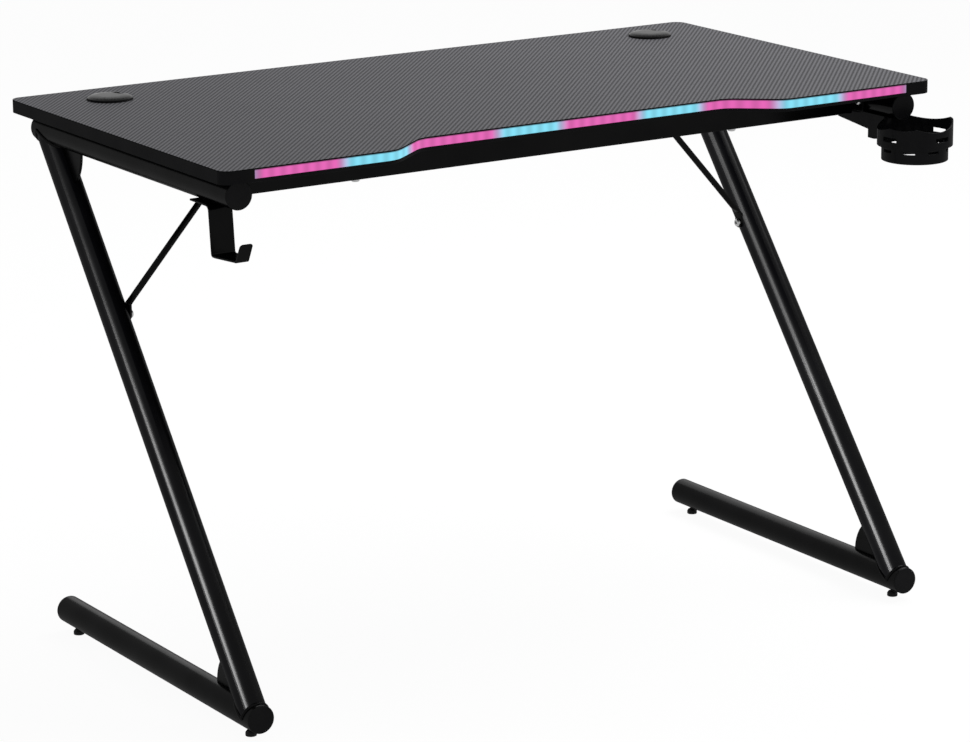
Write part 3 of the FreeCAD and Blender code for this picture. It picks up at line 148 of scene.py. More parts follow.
def black_finish(name, dark, light, patch, grain, depth, strength, roughness,
                 coat, coat_roughness, coat_ior):
    """A black surface whose tone and gloss drift in patches, with a fine grain in roughness and relief."""
    material, spot = new_finish(name, {
        "Specular IOR Level": 0.0, "Coat Roughness": coat_roughness, "Coat IOR": coat_ior})
    fine, drift = noise(spot, grain), noise(spot, patch, PATCH_DETAIL)
    feed(material, {
        "Base Color": tone(drift, dark, light),
        "Roughness": between(*roughness, fine),
        "Coat Weight": between(*coat, drift),
        "Normal": relief(fine, depth, strength)})
    return material


def merged(node):
    """A copy of a CAD node's triangles with their doubles merged."""
    bm = bmesh.new()
    bm.from_mesh(frame["nodes"][node].data)
    bmesh.ops.remove_doubles(bm, verts=bm.verts, dist=MERGE)
    return bm


def solid(node):
    """A copy of a CAD solid with its flat faces joined and its curved faces marked smooth."""
    bm = merged(node)
    bmesh.ops.dissolve_limit(bm, angle_limit=CURVED, verts=bm.verts, edges=bm.edges)
    for face in bm.faces:
        face.smooth = any(edge.is_manifold and CURVED < edge.calc_face_angle() < CREASE
                          for edge in face.edges)
    return bm


def round_corners(bm, radius, steps, wanted):
    """Rounds the wanted ones among a solid's outer corners."""
    corners = [edge for edge in bm.edges
               if edge.is_manifold and edge.calc_face_angle() > CREASE and edge.is_convex and wanted(edge)]
    made = bmesh.ops.bevel(bm, geom=corners, offset=radius, offset_type="OFFSET", segments=steps, profile=0.5,
                           affect="EDGES", clamp_overlap=False)
    for face in made["faces"]:
        face.smooth = True


def mesh_of(name, bm):
    """A plain mesh of a worked shape, which is then let go."""
    mesh = bpy.data.meshes.new(name)
    bm.to_mesh(mesh)
    bm.free()
    return mesh


def in_scene(name, data):
    """A new object in the scene."""
    made = bpy.data.objects.new(name, data)
    bpy.context.scene.collection.objects.link(made)
    return made


def baked(host):
    """The plain mesh that an object's modifiers make. The object is then removed."""
    bpy.context.view_layer.update()
    mesh = bpy.data.meshes.new_from_object(host.evaluated_get(bpy.context.evaluated_depsgraph_get()))
    bpy.data.objects.remove(host)
    return mesh


def evenly_shaded(name, mesh):
    """The mesh with normals weighted by area, so that a flat face stays flat beside its rounded edges."""
    mesh.set_sharp_from_angle(angle=CREASE)
    host = in_scene(name, mesh)
    host.modifiers.new(name, "WEIGHTED_NORMAL").keep_sharp = True
    return baked(host)


def place_piece(node, mesh, finish):
    """Puts a mesh in the scene with its finish, on the body of the CAD node that it stands for."""
    mesh.materials.clear()
    mesh.materials.append(finish)
    piece = in_scene(node + "_finished", mesh)
    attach(piece, node_body[node])
    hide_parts(node)
    return piece


def finished(node, finish, edge=0.0, steps=2, wanted=lambda corner: True):
    """The piece that stands for a CAD solid, with its outer corners, or the wanted ones, rounded."""
    bm = solid(node)
    if edge:
        round_corners(bm, edge, steps, wanted)
    return place_piece(node, evenly_shaded(node, mesh_of(node + "_surface", bm)), finish)


powder_coat = black_finish(
    "black_powder_coat", dark=(0.0002, 0.0002, 0.0003), light=(0.0008, 0.0008, 0.0010), patch=0.06,
    grain=0.0011, depth=0.00002, strength=0.5, roughness=(0.45, 0.55),
    coat=(0.11, 0.17), coat_roughness=0.24, coat_ior=1.5)
for side in SIDES:
    finished(f"upper_tube_{side}", powder_coat)
low_tubes = [finished(f"lower_tube_{side}", powder_coat) for side in SIDES]
legs = [finished(f"leg_{side}", powder_coat) for side in SIDES]

# Welds: a bead of weld metal round each coped end of the legs, laid in overlapping ripples by hand and
# coated with the frame. The bead follows the line in which the leg's and the tube's surfaces meet.

LEG_INSET = 0.017
BEAD_RADIUS, BEAD_RIPPLE, BEAD_RIPPLE_HEIGHT = 0.0022, 0.0035, 0.0005
BEAD_POINTS, BEAD_SIDES = 144, 10


def weld_line(joint, axis, radius, rises):
    """Where a leg's surface meets a tube of the same radius, as a closed line of points."""
    across = Vector((1, 0, 0))
    over = axis.cross(across)
    line = []
    for i in range(BEAD_POINTS):
        turn = 2 * math.pi * i / BEAD_POINTS
        rim = radius * (math.cos(turn) * across + math.sin(turn) * over)
        height = rises * radius * abs(math.sin(turn))
        line.append(joint + rim + axis * ((height - rim.z) / axis.z))
    return line


def new_tree(name, inputs):
    """A geometry tree with a mesh input, its named inputs and a mesh output."""
    tree = bpy.data.node_groups.new(name, "GeometryNodeTree")
    tree.interface.new_socket("Mesh", in_out="INPUT", socket_type="NodeSocketGeometry")
    for label, kind in inputs:
        tree.interface.new_socket(label, in_out="INPUT", socket_type="NodeSocket" + kind)
    tree.interface.new_socket("Mesh", in_out="OUTPUT", socket_type="NodeSocketGeometry")
    return tree, tree.nodes.new("NodeGroupInput"), tree.nodes.new("NodeGroupOutput")


def step(tree, kind, sockets=None, **settings):
    """Adds a node to a geometry tree: its settings first, then the values or links of its sockets."""
    made = tree.nodes.new(kind)
    for name, setting in settings.items():
        setattr(made, name, setting)
    for name, value in (sockets or {}).items():
        if isinstance(value, bpy.types.NodeSocket):
            tree.links.new(value, made.inputs[name])
        else:
            made.inputs[name].default_value = value
    return made


def grown(name, start, tree, values):
    """The plain mesh that a tree makes of a starting mesh with its inputs set."""
    host = in_scene(name, start)
    modifier = host.modifiers.new(name, "NODES")
    modifier.node_group = tree
    sockets = {item.name: item.identifier for item in tree.interface.items_tree if item.in_out == "INPUT"}
    for label, value in values.items():
        modifier[sockets[label]] = value
    return baked(host)


bead_tree, bead_in, bead_out = new_tree("weld_bead", [
    ("Radius", "Float"), ("Ripple", "Float"), ("Ripple height", "Float"), ("Finish", "Material")])
line = step(bead_tree, "GeometryNodeMeshToCurve", {"Mesh": bead_in.outputs["Mesh"]})
ring = step(bead_tree, "GeometryNodeCurvePrimitiveCircle", {
    "Resolution": BEAD_SIDES, "Radius": bead_in.outputs["Radius"]})
bead = step(bead_tree, "GeometryNodeCurveToMesh", {
    "Curve": line.outputs["Curve"], "Profile Curve": ring.outputs["Curve"]})
scale = step(bead_tree, "ShaderNodeMath", {0: 1.0, 1: bead_in.outputs["Ripple"]}, operation="DIVIDE")
swell = step(bead_tree, "ShaderNodeTexNoise", {"Scale": scale.outputs[0], "Detail": 0.0})
height = step(bead_tree, "ShaderNodeMath", {
    0: swell.outputs[0], 1: bead_in.outputs["Ripple height"]}, operation="MULTIPLY")
outward = step(bead_tree, "GeometryNodeInputNormal")
lift = step(bead_tree, "ShaderNodeVectorMath", {
    0: outward.outputs["Normal"], "Scale": height.outputs[0]}, operation="SCALE")
bead = step(bead_tree, "GeometryNodeSetPosition", {
    "Geometry": bead.outputs["Mesh"], "Offset": lift.outputs["Vector"]})
bead = step(bead_tree, "GeometryNodeSetShadeSmooth", {"Geometry": bead.outputs["Geometry"]})
bead = step(bead_tree, "GeometryNodeRealizeInstances", {"Geometry": bead.outputs["Geometry"]})
bead = step(bead_tree, "GeometryNodeSetMaterial", {
    "Geometry": bead.outputs["Geometry"], "Material": bead_in.outputs["Finish"]})
bead_tree.links.new(bead.outputs["Geometry"], bead_out.inputs["Mesh"])

for side in SIDES:
    low_tube, high_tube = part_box(f"lower_tube_{side}"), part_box(f"upper_tube_{side}")
    radius = (low_tube[1].x - low_tube[0].x) / 2
    foot = Vector(((low_tube[0].x + low_tube[1].x) / 2, low_tube[0].y + LEG_INSET, low_tube[0].z + radius))
    head = Vector((foot.x, high_tube[1].y - LEG_INSET, high_tube[0].z + radius))
    axis = (head - foot).normalized()
    seam = bmesh.new()
    for joint, rises in ((foot, 1), (head, -1)):
        loop = [seam.verts.new(point) for point in weld_line(joint, axis, radius, rises)]
        for first, second in zip(loop, loop[1:] + loop[:1]):
            seam.edges.new((first, second))
    mesh = grown(f"weld_{side}", mesh_of(f"weld_line_{side}", seam), bead_tree, {
        "Radius": BEAD_RADIUS, "Ripple": BEAD_RIPPLE, "Ripple height": BEAD_RIPPLE_HEIGHT,
        "Finish": powder_coat})
    welds = in_scene(f"leg_welds_{side}", mesh)
    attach(welds, "frame")

# Gussets: flat sectors of steel plate in the two sharp corners of each frame, cut by laser, with their
# edges broken, welded on and coated with the tubes.

GUSSET_EDGE = 0.0006
for side in SIDES:
    for level in ("upper", "lower"):
        finished(f"{level}_gusset_{side}", powder_coat, GUSSET_EDGE)

# End plugs: moulded black plastic plugs pushed into the open tube ends, with a rounded rim and the fine
# spark texture of the mould on the face.

PLUG_EDGE = 0.0006
moulded = black_finish(
    "moulded_black_plastic", dark=(0.0030, 0.0030, 0.0033), light=(0.0055, 0.0055, 0.0060), patch=0.03,
    grain=0.0004, depth=0.00003, strength=0.5, roughness=(0.50, 0.65),
    coat=(0.10, 0.15), coat_roughness=0.32, coat_ior=1.5)
for side in SIDES:
    for end in ("upper_cap_front", "upper_cap_rear", "lower_cap_front", "lower_cap_rear"):
        finished(f"{end}_{side}", moulded, PLUG_EDGE, steps=3)

# Levelling feet: small turned plastic feet, two under each lower tube. The stem of each screws into a nut
# that is pressed into the tube, so that the desk can be set level.

FOOT_EDGE = 0.0007
SCUFF, SCUFF_DEPTH, FOOT_PATCH = 0.0008, 0.00004, 0.008
foot_plastic, spot = new_finish("foot_plastic", {"Specular IOR Level": 0.10})
scuff, drift = noise(spot, SCUFF), noise(spot, FOOT_PATCH, PATCH_DETAIL)
feed(foot_plastic, {
    "Base Color": tone(drift, (0.006, 0.006, 0.006), (0.012, 0.012, 0.0125)),
    "Roughness": between(0.5, 0.7, scuff),
    "Normal": relief(scuff, SCUFF_DEPTH, 0.5)})
for side in SIDES:
    for end in ("front", "rear"):
        finished(f"levelling_foot_{end}_{side}", foot_plastic, FOOT_EDGE, steps=3)

# Nuts and inserts: zinc-plated rivet nuts in the tubes and foot nuts, and turned brass inserts in the
# board. They lie inside the other pieces and keep the CAD solids.

SPANGLE, SPANGLE_DEPTH, ZINC_PATCH = 0.0012, 0.00002, 0.012
TURNING = 0.0006


def coat_node(node, finish):
    """Gives a CAD solid that stays in the scene its finish."""
    for held in frame["nodes"][node].material_slots:
        held.material = finish


zinc, spot = new_finish("zinc_plating", {"Metallic": 1.0})
spangle, drift = noise(spot, SPANGLE), noise(spot, ZINC_PATCH, PATCH_DETAIL)
feed(zinc, {
    "Base Color": tone(drift, (0.34, 0.34, 0.335), (0.48, 0.485, 0.49)),
    "Roughness": between(0.26, 0.42, spangle),
    "Normal": relief(spangle, SPANGLE_DEPTH, 0.4)})
brass, spot = new_finish("turned_brass", {"Metallic": 1.0})
turning = noise(spot, TURNING)
feed(brass, {
    "Base Color": tone(turning, (0.52, 0.36, 0.13), (0.68, 0.50, 0.21)),
    "Roughness": between(0.30, 0.45, turning)})
coat_node("tube_rivet_nuts", zinc)
coat_node("foot_nuts", zinc)
coat_node("deck_inserts", brass)

# Cross beams: rectangular steel tube with rolled corners under the front and rear of the deck. A plate
# with a curved seat closes each end and is bolted to the upper tube.

BEAM_CORNER, PLATE_EDGE = 0.0024, 0.0006
for beam in ("front_beam", "rear_beam"):
    long_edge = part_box(beam)[1].x / 2
    finished(beam, powder_coat, BEAM_CORNER, steps=4, wanted=lambda edge: edge.calc_length() > long_edge)
    for side in SIDES:
        finished(f"{beam}_plate_{side}", powder_coat, PLATE_EDGE)

# Deck board: particle board, black melamine paper on its underside, routed for the light, the grommets,
# the lead and the inserts. Its edges are closed by the band and its top by the sheet.

MELAMINE = 0.0004
CHIPS_PER_METRE = 420.0
PAPER_GRAIN, PAPER_DEPTH = 0.0007, 0.00004
MIX_FIRST, MIX_SECOND, MIX_RESULT = 6, 7, 2
board_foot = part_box("deck_board")[0].z


def along(spot, axis):
    """How far a spot lies along an axis, in metres."""
    return spot.node("SeparateXYZ", {"Vector": spot}, axis)


def mixed(share, first, second):
    """The first colour where a share is 0 and the second where it is 1."""
    return share.node("Mix", {"Factor": share, MIX_FIRST: first, MIX_SECOND: second}, MIX_RESULT,
                      data_type="RGBA")


board, spot = new_finish("particle_board", {"Specular IOR Level": 0.2})
chip = spot.node("TexVoronoi", {"Vector": spot, "Scale": CHIPS_PER_METRE}, "Color", feature="F1")
chips = tone(chip.node("RGBToBW", {"Color": chip}), (0.22, 0.14, 0.07), (0.50, 0.37, 0.22))
paper_grain = noise(spot, PAPER_GRAIN)
paper = tone(paper_grain, (0.009, 0.009, 0.0095), (0.016, 0.016, 0.0165))
under = spot.maths("LESS_THAN", along(spot, "Z"), board_foot + MELAMINE)
feed(board, {
    "Base Color": mixed(under, chips, paper),
    "Roughness": between(0.75, 0.45, under) + 0.08 * paper_grain,
    "Normal": relief(paper_grain, PAPER_DEPTH, 0.4)})
coat_node("deck_board", board)

# Top sheet: a decorative laminate printed and embossed as a carbon twill, two tows over and two under,
# so that the wales run in fine diagonals. The tows that lie over are lighter, part print and part painted
# sheen, and each tow is lighter along its crown, a painted highlight. It is glued to the board and
# trimmed flush with the band, and its cut edge shows the black core of the laminate.

TOW_X, TOW_Y, TOW_DEPTH = 0.00195, 0.00213, 0.00005
TWILL_REPEAT, TOWS_OVER = 4.0, 2.0
OVER_TONE_AND_SHEEN, CROWN_HIGHLIGHT, CLOUD_TONE = 0.72, 0.20, 0.08
CLOUD = 0.12
SHEET_EDGE = 0.0004
PRINT_DEPTH = SHEET_EDGE / 4
CORE_BLACK = (0.004, 0.004, 0.0042, 1.0)
sheet_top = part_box("deck_top_sheet")[1].z


def crown_across(tows):
    """How far up a tow's rounded back a spot lies, from 0 at its sides to 1 along its middle."""
    return 1 - 2 * tows.maths("ABSOLUTE", tows.maths("FRACT", tows) - 0.5)


carbon, spot = new_finish("carbon_twill_laminate", {
    "Specular IOR Level": 0.0, "Coat Roughness": 0.36, "Coat IOR": 1.5})
tows_x, tows_y = along(spot, "X") / TOW_X, along(spot, "Y") / TOW_Y
cell = spot.maths("FLOOR", tows_x) - spot.maths("FLOOR", tows_y)
over = spot.maths("LESS_THAN", spot.maths("FLOORED_MODULO", cell, TWILL_REPEAT), TOWS_OVER)
crown = over * crown_across(tows_x) + (1 - over) * crown_across(tows_y)
# Lighter where tows lie over: part print, part painted sheen. Lighter along each tow's crown: painted
# highlight. The cloud is a random tone.
weave_and_painted_sheen = over * OVER_TONE_AND_SHEEN + crown * CROWN_HIGHLIGHT + noise(spot, CLOUD, PATCH_DETAIL) * CLOUD_TONE
twill = tone(weave_and_painted_sheen, (0.027, 0.027, 0.029), (0.092, 0.091, 0.099))
printed = spot.maths("GREATER_THAN", along(spot, "Z"), sheet_top - PRINT_DEPTH)
feed(carbon, {
    "Base Color": mixed(printed, CORE_BLACK, twill),
    "Roughness": between(0.62, 0.52, over),
    "Coat Weight": between(0.13, 0.21, over) * printed,
    "Normal": relief(crown, TOW_DEPTH, 0.25)})
finished("deck_top_sheet", carbon, SHEET_EDGE)

# Edge band: a strip of black plastic ironed on to the board's edge, with a satin face and a small radius
# scraped along its lower corner.

BAND_EDGE = 0.0005
UPRIGHT = 0.5
band_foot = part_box("deck_edge_band")[0].z


def scraped(edge):
    """Whether an edge of the band is its lower outer corner."""
    first, second = (corner.co for corner in edge.verts)
    low = max(first.z, second.z) < band_foot + MERGE
    walls = [face.normal for face in edge.link_faces if abs(face.normal.z) < UPRIGHT]
    return low and any(normal.dot(first + second) > 0 for normal in walls)


band_plastic = black_finish(
    "edge_band_plastic", dark=(0.0028, 0.0028, 0.0032), light=(0.0050, 0.0050, 0.0055), patch=0.05,
    grain=0.0006, depth=0.00002, strength=0.5, roughness=(0.50, 0.62),
    coat=(0.06, 0.09), coat_roughness=0.3, coat_ior=1.5)
finished("deck_edge_band", band_plastic, BAND_EDGE, wanted=scraped)

# Light: a tape of emitters on the groove's back wall shines through an opal strip that lies flush with
# the front edge. The controller sets runs of the tape to pink and to cyan, and the strip blends them.
# The glow fades to dark along the strip's top edge, a painted shade of the lip above it.

EMITTER_PITCH = 0.0166
STRIP_EDGE, OPAL_GRAIN = 0.0005, 0.002
BLEND, END_GLOW, PAINTED_LIP_SHADE = 0.020, 0.011, 0.0016
PINK, CYAN, LAVENDER = (0.78, 0.11, 0.46), (0.215, 0.74, 0.93), (0.36, 0.22, 0.42)
GLOW_LOW, GLOW_HIGH = 0.80, 1.00
COLOUR_CHANGES = (-0.385, -0.272, -0.123, -0.0235, 0.1015, 0.203, 0.298, 0.402)
strip_low, strip_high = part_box("light_diffuser")
strip_length = strip_high.x - strip_low.x


def share_of_strip(x):
    """How far along the strip a place lies, from 0 at its left end to 1 at its right."""
    return (x - strip_low.x) / strip_length


stops = [(0.0, LAVENDER), (END_GLOW / strip_length, PINK)]
for i, change in enumerate(COLOUR_CHANGES):
    before, after = (PINK, CYAN) if i % 2 == 0 else (CYAN, PINK)
    stops += [(share_of_strip(change - BLEND / 2), before), (share_of_strip(change + BLEND / 2), after)]
stops += [(1.0 - END_GLOW / strip_length, PINK), (1.0, LAVENDER)]

opal, spot = new_finish("opal_strip", {
    "Roughness": 0.35, "Specular IOR Level": 0.3, "Emission Strength": 1.0})
x = along(spot, "X")
run = spot.node("ValToRGB", {"Fac": share_of_strip(x)}, stops=stops)
near_emitter = 0.5 + 0.5 * spot.maths("COSINE", x * (2 * math.pi / EMITTER_PITCH))
# The glow fades to dark towards the strip's top edge: painted shade of the lip above it.
painted_lip_shade_factor = spot.maths("MINIMUM", (strip_high.z - along(spot, "Z")) / PAINTED_LIP_SHADE, 1.0)
glow = between(GLOW_LOW, GLOW_HIGH, near_emitter) * painted_lip_shade_factor
feed(opal, {
    "Base Color": tone(noise(spot, OPAL_GRAIN), (0.010, 0.010, 0.010), (0.016, 0.016, 0.016)),
    "Emission Color": spot.node("VectorMath", {0: run, "Scale": glow}, operation="SCALE")})
finished("light_diffuser", opal, STRIP_EDGE)

# Tape, emitters and lead: a white circuit strip with small square cream-coloured emitters, and a black
# lead to the controller. They lie out of sight in the deck's groove and slot and keep the CAD solids.

TRACE_SCALE, TRACE_WAVER = 260.0, 0.6
CIRCUIT_GRAIN, EMITTER_GRAIN = 0.001, 0.0008
circuit, spot = new_finish("circuit_strip", {"Specular IOR Level": 0.4})
trace = spot.node("TexWave", {"Vector": spot, "Scale": TRACE_SCALE, "Distortion": TRACE_WAVER},
                  bands_direction="Z")
feed(circuit, {
    "Base Color": tone(trace, (0.50, 0.50, 0.47), (0.70, 0.70, 0.67)),
    "Roughness": between(0.4, 0.6, noise(spot, CIRCUIT_GRAIN))})
emitter_body, spot = new_finish("emitter_body", {"Specular IOR Level": 0.4})
speck = noise(spot, EMITTER_GRAIN)
feed(emitter_body, {
    "Base Color": tone(speck, (0.72, 0.62, 0.36), (0.86, 0.82, 0.66)),
    "Roughness": between(0.3, 0.5, speck)})
coat_node("light_tape", circuit)
coat_node("light_emitters", emitter_body)
coat_node("light_lead", moulded)

# Light controller: a small moulded tray with two screw ears behind the front beam, its cover from below,
# a push button in the cover and a round low-voltage socket in the rear wall. It holds a circuit board.

CASE_EDGE, COVER_EDGE, SOCKET_EDGE, BUTTON_EDGE = 0.0008, 0.0004, 0.0004, 0.0006
for node, edge in (("controller_case", CASE_EDGE), ("controller_cover", COVER_EDGE),
                   ("power_socket", SOCKET_EDGE), ("light_button", BUTTON_EDGE)):
    finished(node, moulded, edge, steps=3)
coat_node("controller_board", circuit)

# Grommets: a flanged liner pushed into each hole at the rear corners and a shallow dome that turns in it,
# with a notch for cables. Both are moulded in black plastic, the dome in a polished mould.

LINER_EDGE, CAP_EDGE = 0.0004, 0.0007
dome_plastic = black_finish(
    "dome_plastic", dark=(0.0030, 0.0030, 0.0033), light=(0.0050, 0.0050, 0.0055), patch=0.02,
    grain=0.004, depth=0.00002, strength=0.3, roughness=(0.40, 0.50),
    coat=(0.56, 0.62), coat_roughness=0.12, coat_ior=1.25)
for side in SIDES:
    finished(f"grommet_liner_{side}", moulded, LINER_EDGE)
domes = [finished(f"grommet_cap_{side}", dome_plastic, CAP_EDGE, steps=3) for side in SIDES]

# Braces: round steel rods squeezed flat at both ends, bolted to the leg and to the deck's underside, and
# coated with the frame.

for side in SIDES:
    finished(f"brace_{side}", powder_coat)

# Headphone hook: one strip of steel, bent to a flange, a drop and a shelf with an upturned lip, coated
# with the frame and bolted under the left upper tube.

HOOK_EDGE = 0.0005
finished("headphone_hook", powder_coat, HOOK_EDGE)

# Cup holder: one moulding of black plastic, a two-tier basket with a scooped rim, windows and slots, on
# a hollow arm bolted under the right upper tube. Its mould was smoother than that of the plugs.

CUP_EDGE = 0.0006
cup_plastic = black_finish(
    "cup_plastic", dark=(0.0028, 0.0028, 0.0032), light=(0.0050, 0.0050, 0.0055), patch=0.025,
    grain=0.0025, depth=0.00003, strength=0.4, roughness=(0.45, 0.57),
    coat=(0.08, 0.12), coat_roughness=0.18, coat_ior=1.5)
finished("cup_holder", cup_plastic, CUP_EDGE)

# Fasteners: zinc-plated button-head bolts with a hexagon socket, M6 in the frame and smaller screws in
# the controller. The heads are cold-formed, and each group is set where its holes are.

HEAD_RINGS, HEAD_SIDES, SHANK_SIDES = 5, 24, 16
SOCKET_SHARE, SOCKET_DEPTH_SHARE = 0.36, 0.55
FLAT_SHARE, RIM_SHARE = 0.62, 0.25
AT_HEAD_RIM = 0.99


def islands(node):
    """The loose solids of a CAD node, each as the places of its corners."""
    bm = merged(node)
    left, found = set(bm.verts), []
    while left:
        front = [left.pop()]
        corners = []
        while front:
            corner = front.pop()
            corners.append(corner.co.copy())
            for edge in corner.link_edges:
                other = edge.other_vert(corner)
                if other in left:
                    left.remove(other)
                    front.append(other)
        found.append(corners)
    bm.free()
    return found


def bolt_facts(corners):
    """A bolt's seat, the direction that its shank runs in, and its sizes, read from its solid."""
    low = Vector([min(c[i] for c in corners) for i in range(3)])
    high = Vector([max(c[i] for c in corners) for i in range(3)])
    middle, extent = (low + high) / 2, high - low
    i = max(range(3), key=lambda n: extent[n])
    radii = [math.hypot(c[i - 1] - middle[i - 1], c[i - 2] - middle[i - 2]) for c in corners]
    head_radius, shank_radius = max(radii), min(r for r in radii if r > MERGE)
    head = [c[i] for c, r in zip(corners, radii) if r > AT_HEAD_RIM * head_radius]
    runs_up = min(head) - low[i] < high[i] - max(head)
    seat = middle.copy()
    seat[i] = max(head) if runs_up else min(head)
    direction = Vector([(1 if runs_up else -1) if n == i else 0 for n in range(3)])
    head_height = max(head) - min(head)
    return seat, direction, head_radius, shank_radius, head_height, extent[i] - head_height


def button_head(radius, height):
    """A domed head with a hexagon socket, standing on the seat with its top towards -Z."""
    bm = bmesh.new()
    flat, socket, side = radius * FLAT_SHARE, radius * SOCKET_SHARE, math.pi / 3

    def ring(z, reach):
        turns = [2 * math.pi * n / HEAD_SIDES for n in range(HEAD_SIDES)]
        return [bm.verts.new((reach(t) * math.cos(t), reach(t) * math.sin(t), -z)) for t in turns]

    def hexagon(turn):
        return socket / math.cos(turn % side - side / 2)

    rings = [ring(0.0, lambda turn: radius)]
    for n in range(HEAD_RINGS + 1):
        slope = math.pi / 2 * n / HEAD_RINGS
        reach = flat + (radius - flat) * math.cos(slope)
        rings.append(ring(height * between(RIM_SHARE, 1.0, math.sin(slope)), lambda turn: reach))
    rings += [ring(height, hexagon), ring(height * (1 - SOCKET_DEPTH_SHARE), hexagon)]
    for first, second in zip(rings, rings[1:]):
        for n in range(HEAD_SIDES):
            m = (n + 1) % HEAD_SIDES
            bm.faces.new((first[n], first[m], second[m], second[n]))
    bm.faces.new(rings[-1])
    bm.faces.new(list(reversed(rings[0])))
    bmesh.ops.recalc_face_normals(bm, faces=bm.faces)
    for face in bm.faces:
        face.smooth = len(face.verts) == 4
    mesh = mesh_of("button_head", bm)
    mesh.set_sharp_from_angle(angle=CREASE)
    return mesh


bolt_tree, bolt_in, bolt_out = new_tree("bolt_group", [
    ("Head", "Object"), ("Shank radius", "Float"), ("Shank length", "Float"), ("Finish", "Material")])
head = step(bolt_tree, "GeometryNodeObjectInfo", {"Object": bolt_in.outputs["Head"]})
shank = step(bolt_tree, "GeometryNodeMeshCylinder", {
    "Vertices": SHANK_SIDES, "Radius": bolt_in.outputs["Shank radius"],
    "Depth": bolt_in.outputs["Shank length"]})
half = step(bolt_tree, "ShaderNodeMath", {0: bolt_in.outputs["Shank length"], 1: 0.5}, operation="MULTIPLY")
rise = step(bolt_tree, "ShaderNodeCombineXYZ", {"Z": half.outputs[0]})
shank = step(bolt_tree, "GeometryNodeTransform", {
    "Geometry": shank.outputs["Mesh"], "Translation": rise.outputs["Vector"]})
bolt = step(bolt_tree, "GeometryNodeJoinGeometry")
bolt_tree.links.new(head.outputs["Geometry"], bolt.inputs["Geometry"])
bolt_tree.links.new(shank.outputs["Geometry"], bolt.inputs["Geometry"])
runs = step(bolt_tree, "GeometryNodeInputNamedAttribute", {"Name": "runs"}, data_type="FLOAT_VECTOR")
turned = step(bolt_tree, "FunctionNodeAlignRotationToVector", {"Vector": runs.outputs["Attribute"]}, axis="Z")
group = step(bolt_tree, "GeometryNodeInstanceOnPoints", {
    "Points": bolt_in.outputs["Mesh"], "Instance": bolt.outputs["Geometry"],
    "Rotation": turned.outputs["Rotation"]})
group = step(bolt_tree, "GeometryNodeRealizeInstances", {"Geometry": group.outputs["Instances"]})
group = step(bolt_tree, "GeometryNodeSetMaterial", {
    "Geometry": group.outputs["Geometry"], "Material": bolt_in.outputs["Finish"]})
bolt_tree.links.new(group.outputs["Geometry"], bolt_out.inputs["Mesh"])

for node in ("beam_plate_bolts", "beam_deck_bolts", "tube_deck_bolts", "brace_bolts", "brace_deck_bolts",
             "hook_bolts", "cup_holder_bolts", "controller_screws"):
    facts = [bolt_facts(corners) for corners in islands(node)]
    head_radius, shank_radius, head_height, shank_length = facts[0][2:]
    shape = in_scene(node + "_head", button_head(head_radius, head_height))
    points = bpy.data.meshes.new(node + "_seats")
    points.from_pydata([seat for seat, *rest in facts], [], [])
    heading = points.attributes.new("runs", "FLOAT_VECTOR", "POINT")
    for item, (seat, direction, *rest) in zip(heading.data, facts):
        item.vector = direction
    mesh = grown(node + "_group", points, bolt_tree, {
        "Head": shape, "Shank radius": shank_radius, "Shank length": shank_length, "Finish": zinc})
    bpy.data.objects.remove(shape)
    place_piece(node, mesh, zinc)

# Studio: a plain white floor that keeps a faint shadow, an even white surround and a soft box overhead.
# Three screened boxes draw the bright lines on the black tubes: one at the rear for the lower tubes, and
# two at the left, one for each leg.

FLOOR_SIZE = 60.0
FLOOR_WHITE, FLOOR_GLOW = 0.9, 0.95
WHITE = (1.0, 1.0, 1.0, 1.0)
AMBIENT = 0.55


def seen_share(tree):
    """1 for what the camera sees straight, in a mirror or through glass, and 0 for light on the desk."""
    path = tree.nodes.new("ShaderNodeLightPath")
    straight, mirrored, through = (Shade(tree, path.outputs[f"Is {ray} Ray"])
                                   for ray in ("Camera", "Glossy", "Transmission"))
    return straight.maths("MAXIMUM", straight.maths("MAXIMUM", straight, mirrored), through)


floor_paint = bpy.data.materials.new("white_floor")
floor_paint.use_nodes = True
tree = floor_paint.node_tree
tree.nodes.remove(tree.nodes["Principled BSDF"])
seen = seen_share(tree)
matt = seen.node("BsdfDiffuse", {"Color": (FLOOR_WHITE, FLOOR_WHITE, FLOOR_WHITE, 1.0)})
shine = seen.node("Emission", {"Color": WHITE, "Strength": 1.0})
surface = seen.node("MixShader", {"Fac": seen * FLOOR_GLOW, 1: matt, 2: shine})
tree.links.new(surface.socket, tree.nodes["Material Output"].inputs["Surface"])
floor_mesh = bpy.data.meshes.new("floor")
reach = FLOOR_SIZE / 2
floor_mesh.from_pydata([(-reach, -reach, 0), (reach, -reach, 0), (reach, reach, 0), (-reach, reach, 0)],
                       [], [(0, 1, 2, 3)])
floor_mesh.materials.append(floor_paint)
floor = in_scene("floor", floor_mesh)

world = bpy.data.worlds.new("studio")
world.use_nodes = True
background = world.node_tree.nodes["Background"]
background.inputs["Color"].default_value = WHITE
strength = between(AMBIENT, 1.0, seen_share(world.node_tree))
world.node_tree.links.new(strength.socket, background.inputs["Strength"])
bpy.context.scene.world = world


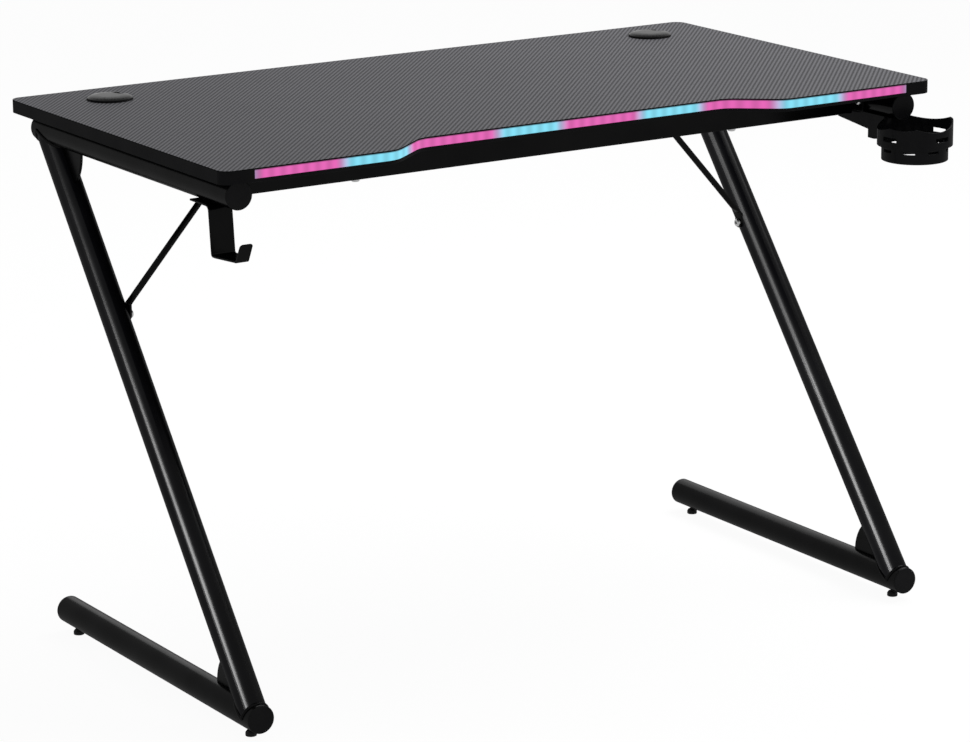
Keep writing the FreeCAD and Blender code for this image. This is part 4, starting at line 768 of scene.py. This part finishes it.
def soft_light(name, place, target, width, height, power, pieces, state):
    """A rectangular soft box that faces a point, for the given pieces only or for all but these."""
    lamp = bpy.data.lights.new(name, "AREA")
    lamp.shape, lamp.size, lamp.size_y, lamp.energy = "RECTANGLE", width, height, power
    holder = in_scene(name, lamp)
    holder.location = place
    holder.rotation_euler = (Vector(target) - Vector(place)).to_track_quat("-Z", "Y").to_euler()
    screened = bpy.data.collections.new(name + "_pieces")
    for piece in pieces:
        screened.objects.link(piece)
    for entry in screened.collection_objects:
        entry.light_linking.link_state = state
    holder.light_linking.receiver_collection = screened
    if state == "INCLUDE":
        holder.light_linking.blocker_collection = screened


soft_light("overhead_soft_box", place=(1.7, 0.2, 2.9), target=(0.2, 0.0, 0.7), width=2.6, height=2.0,
           power=115, pieces=domes, state="EXCLUDE")
soft_light("rear_soft_box", place=(2.0, 3.2, 1.9), target=(0.0, 0.0, 0.1), width=3.4, height=2.6,
           power=84, pieces=low_tubes, state="INCLUDE")
soft_light("left_leg_light", place=(-2.6, -0.55, 1.31), target=(-0.5, -0.1, 0.35), width=0.85, height=0.80,
           power=185, pieces=legs[:1], state="INCLUDE")
soft_light("right_leg_light", place=(-2.6, -0.64, 1.90), target=(0.5, -0.1, 0.35), width=2.0, height=1.10,
           power=690, pieces=legs[1:], state="INCLUDE")

# Camera: the photograph's own view, from the left front and a little above, with a long lens. Its place,
# turns and focal length were solved from the straight edges of the deck and the tubes.

CAMERA_PLACE = (-2.75738, -4.38238, 1.69686)
CAMERA_YAW, CAMERA_PITCH, CAMERA_ROLL = 0.5639, -0.2546, -0.0083
FOCAL_PIXELS, IMAGE_WIDTH, SENSOR_WIDTH = 3818.73, 970, 36.0
camera = bpy.data.cameras.new("camera")
camera.sensor_fit, camera.sensor_width = "HORIZONTAL", SENSOR_WIDTH
camera.lens = FOCAL_PIXELS * SENSOR_WIDTH / IMAGE_WIDTH
ahead = Vector((math.sin(CAMERA_YAW), math.cos(CAMERA_YAW), 0.0))
forward = ahead * math.cos(CAMERA_PITCH) + Vector((0.0, 0.0, math.sin(CAMERA_PITCH)))
level = Vector((math.cos(CAMERA_YAW), -math.sin(CAMERA_YAW), 0.0))
raised = level.cross(forward)
right = level * math.cos(CAMERA_ROLL) + raised * math.sin(CAMERA_ROLL)
top = raised * math.cos(CAMERA_ROLL) - level * math.sin(CAMERA_ROLL)
viewer = in_scene("camera", camera)
viewer.matrix_world = Matrix.Translation(CAMERA_PLACE) @ Matrix((right, top, -forward)).transposed().to_4x4()
bpy.context.scene.camera = viewer
bpy.context.scene.view_settings.view_transform = "Standard"
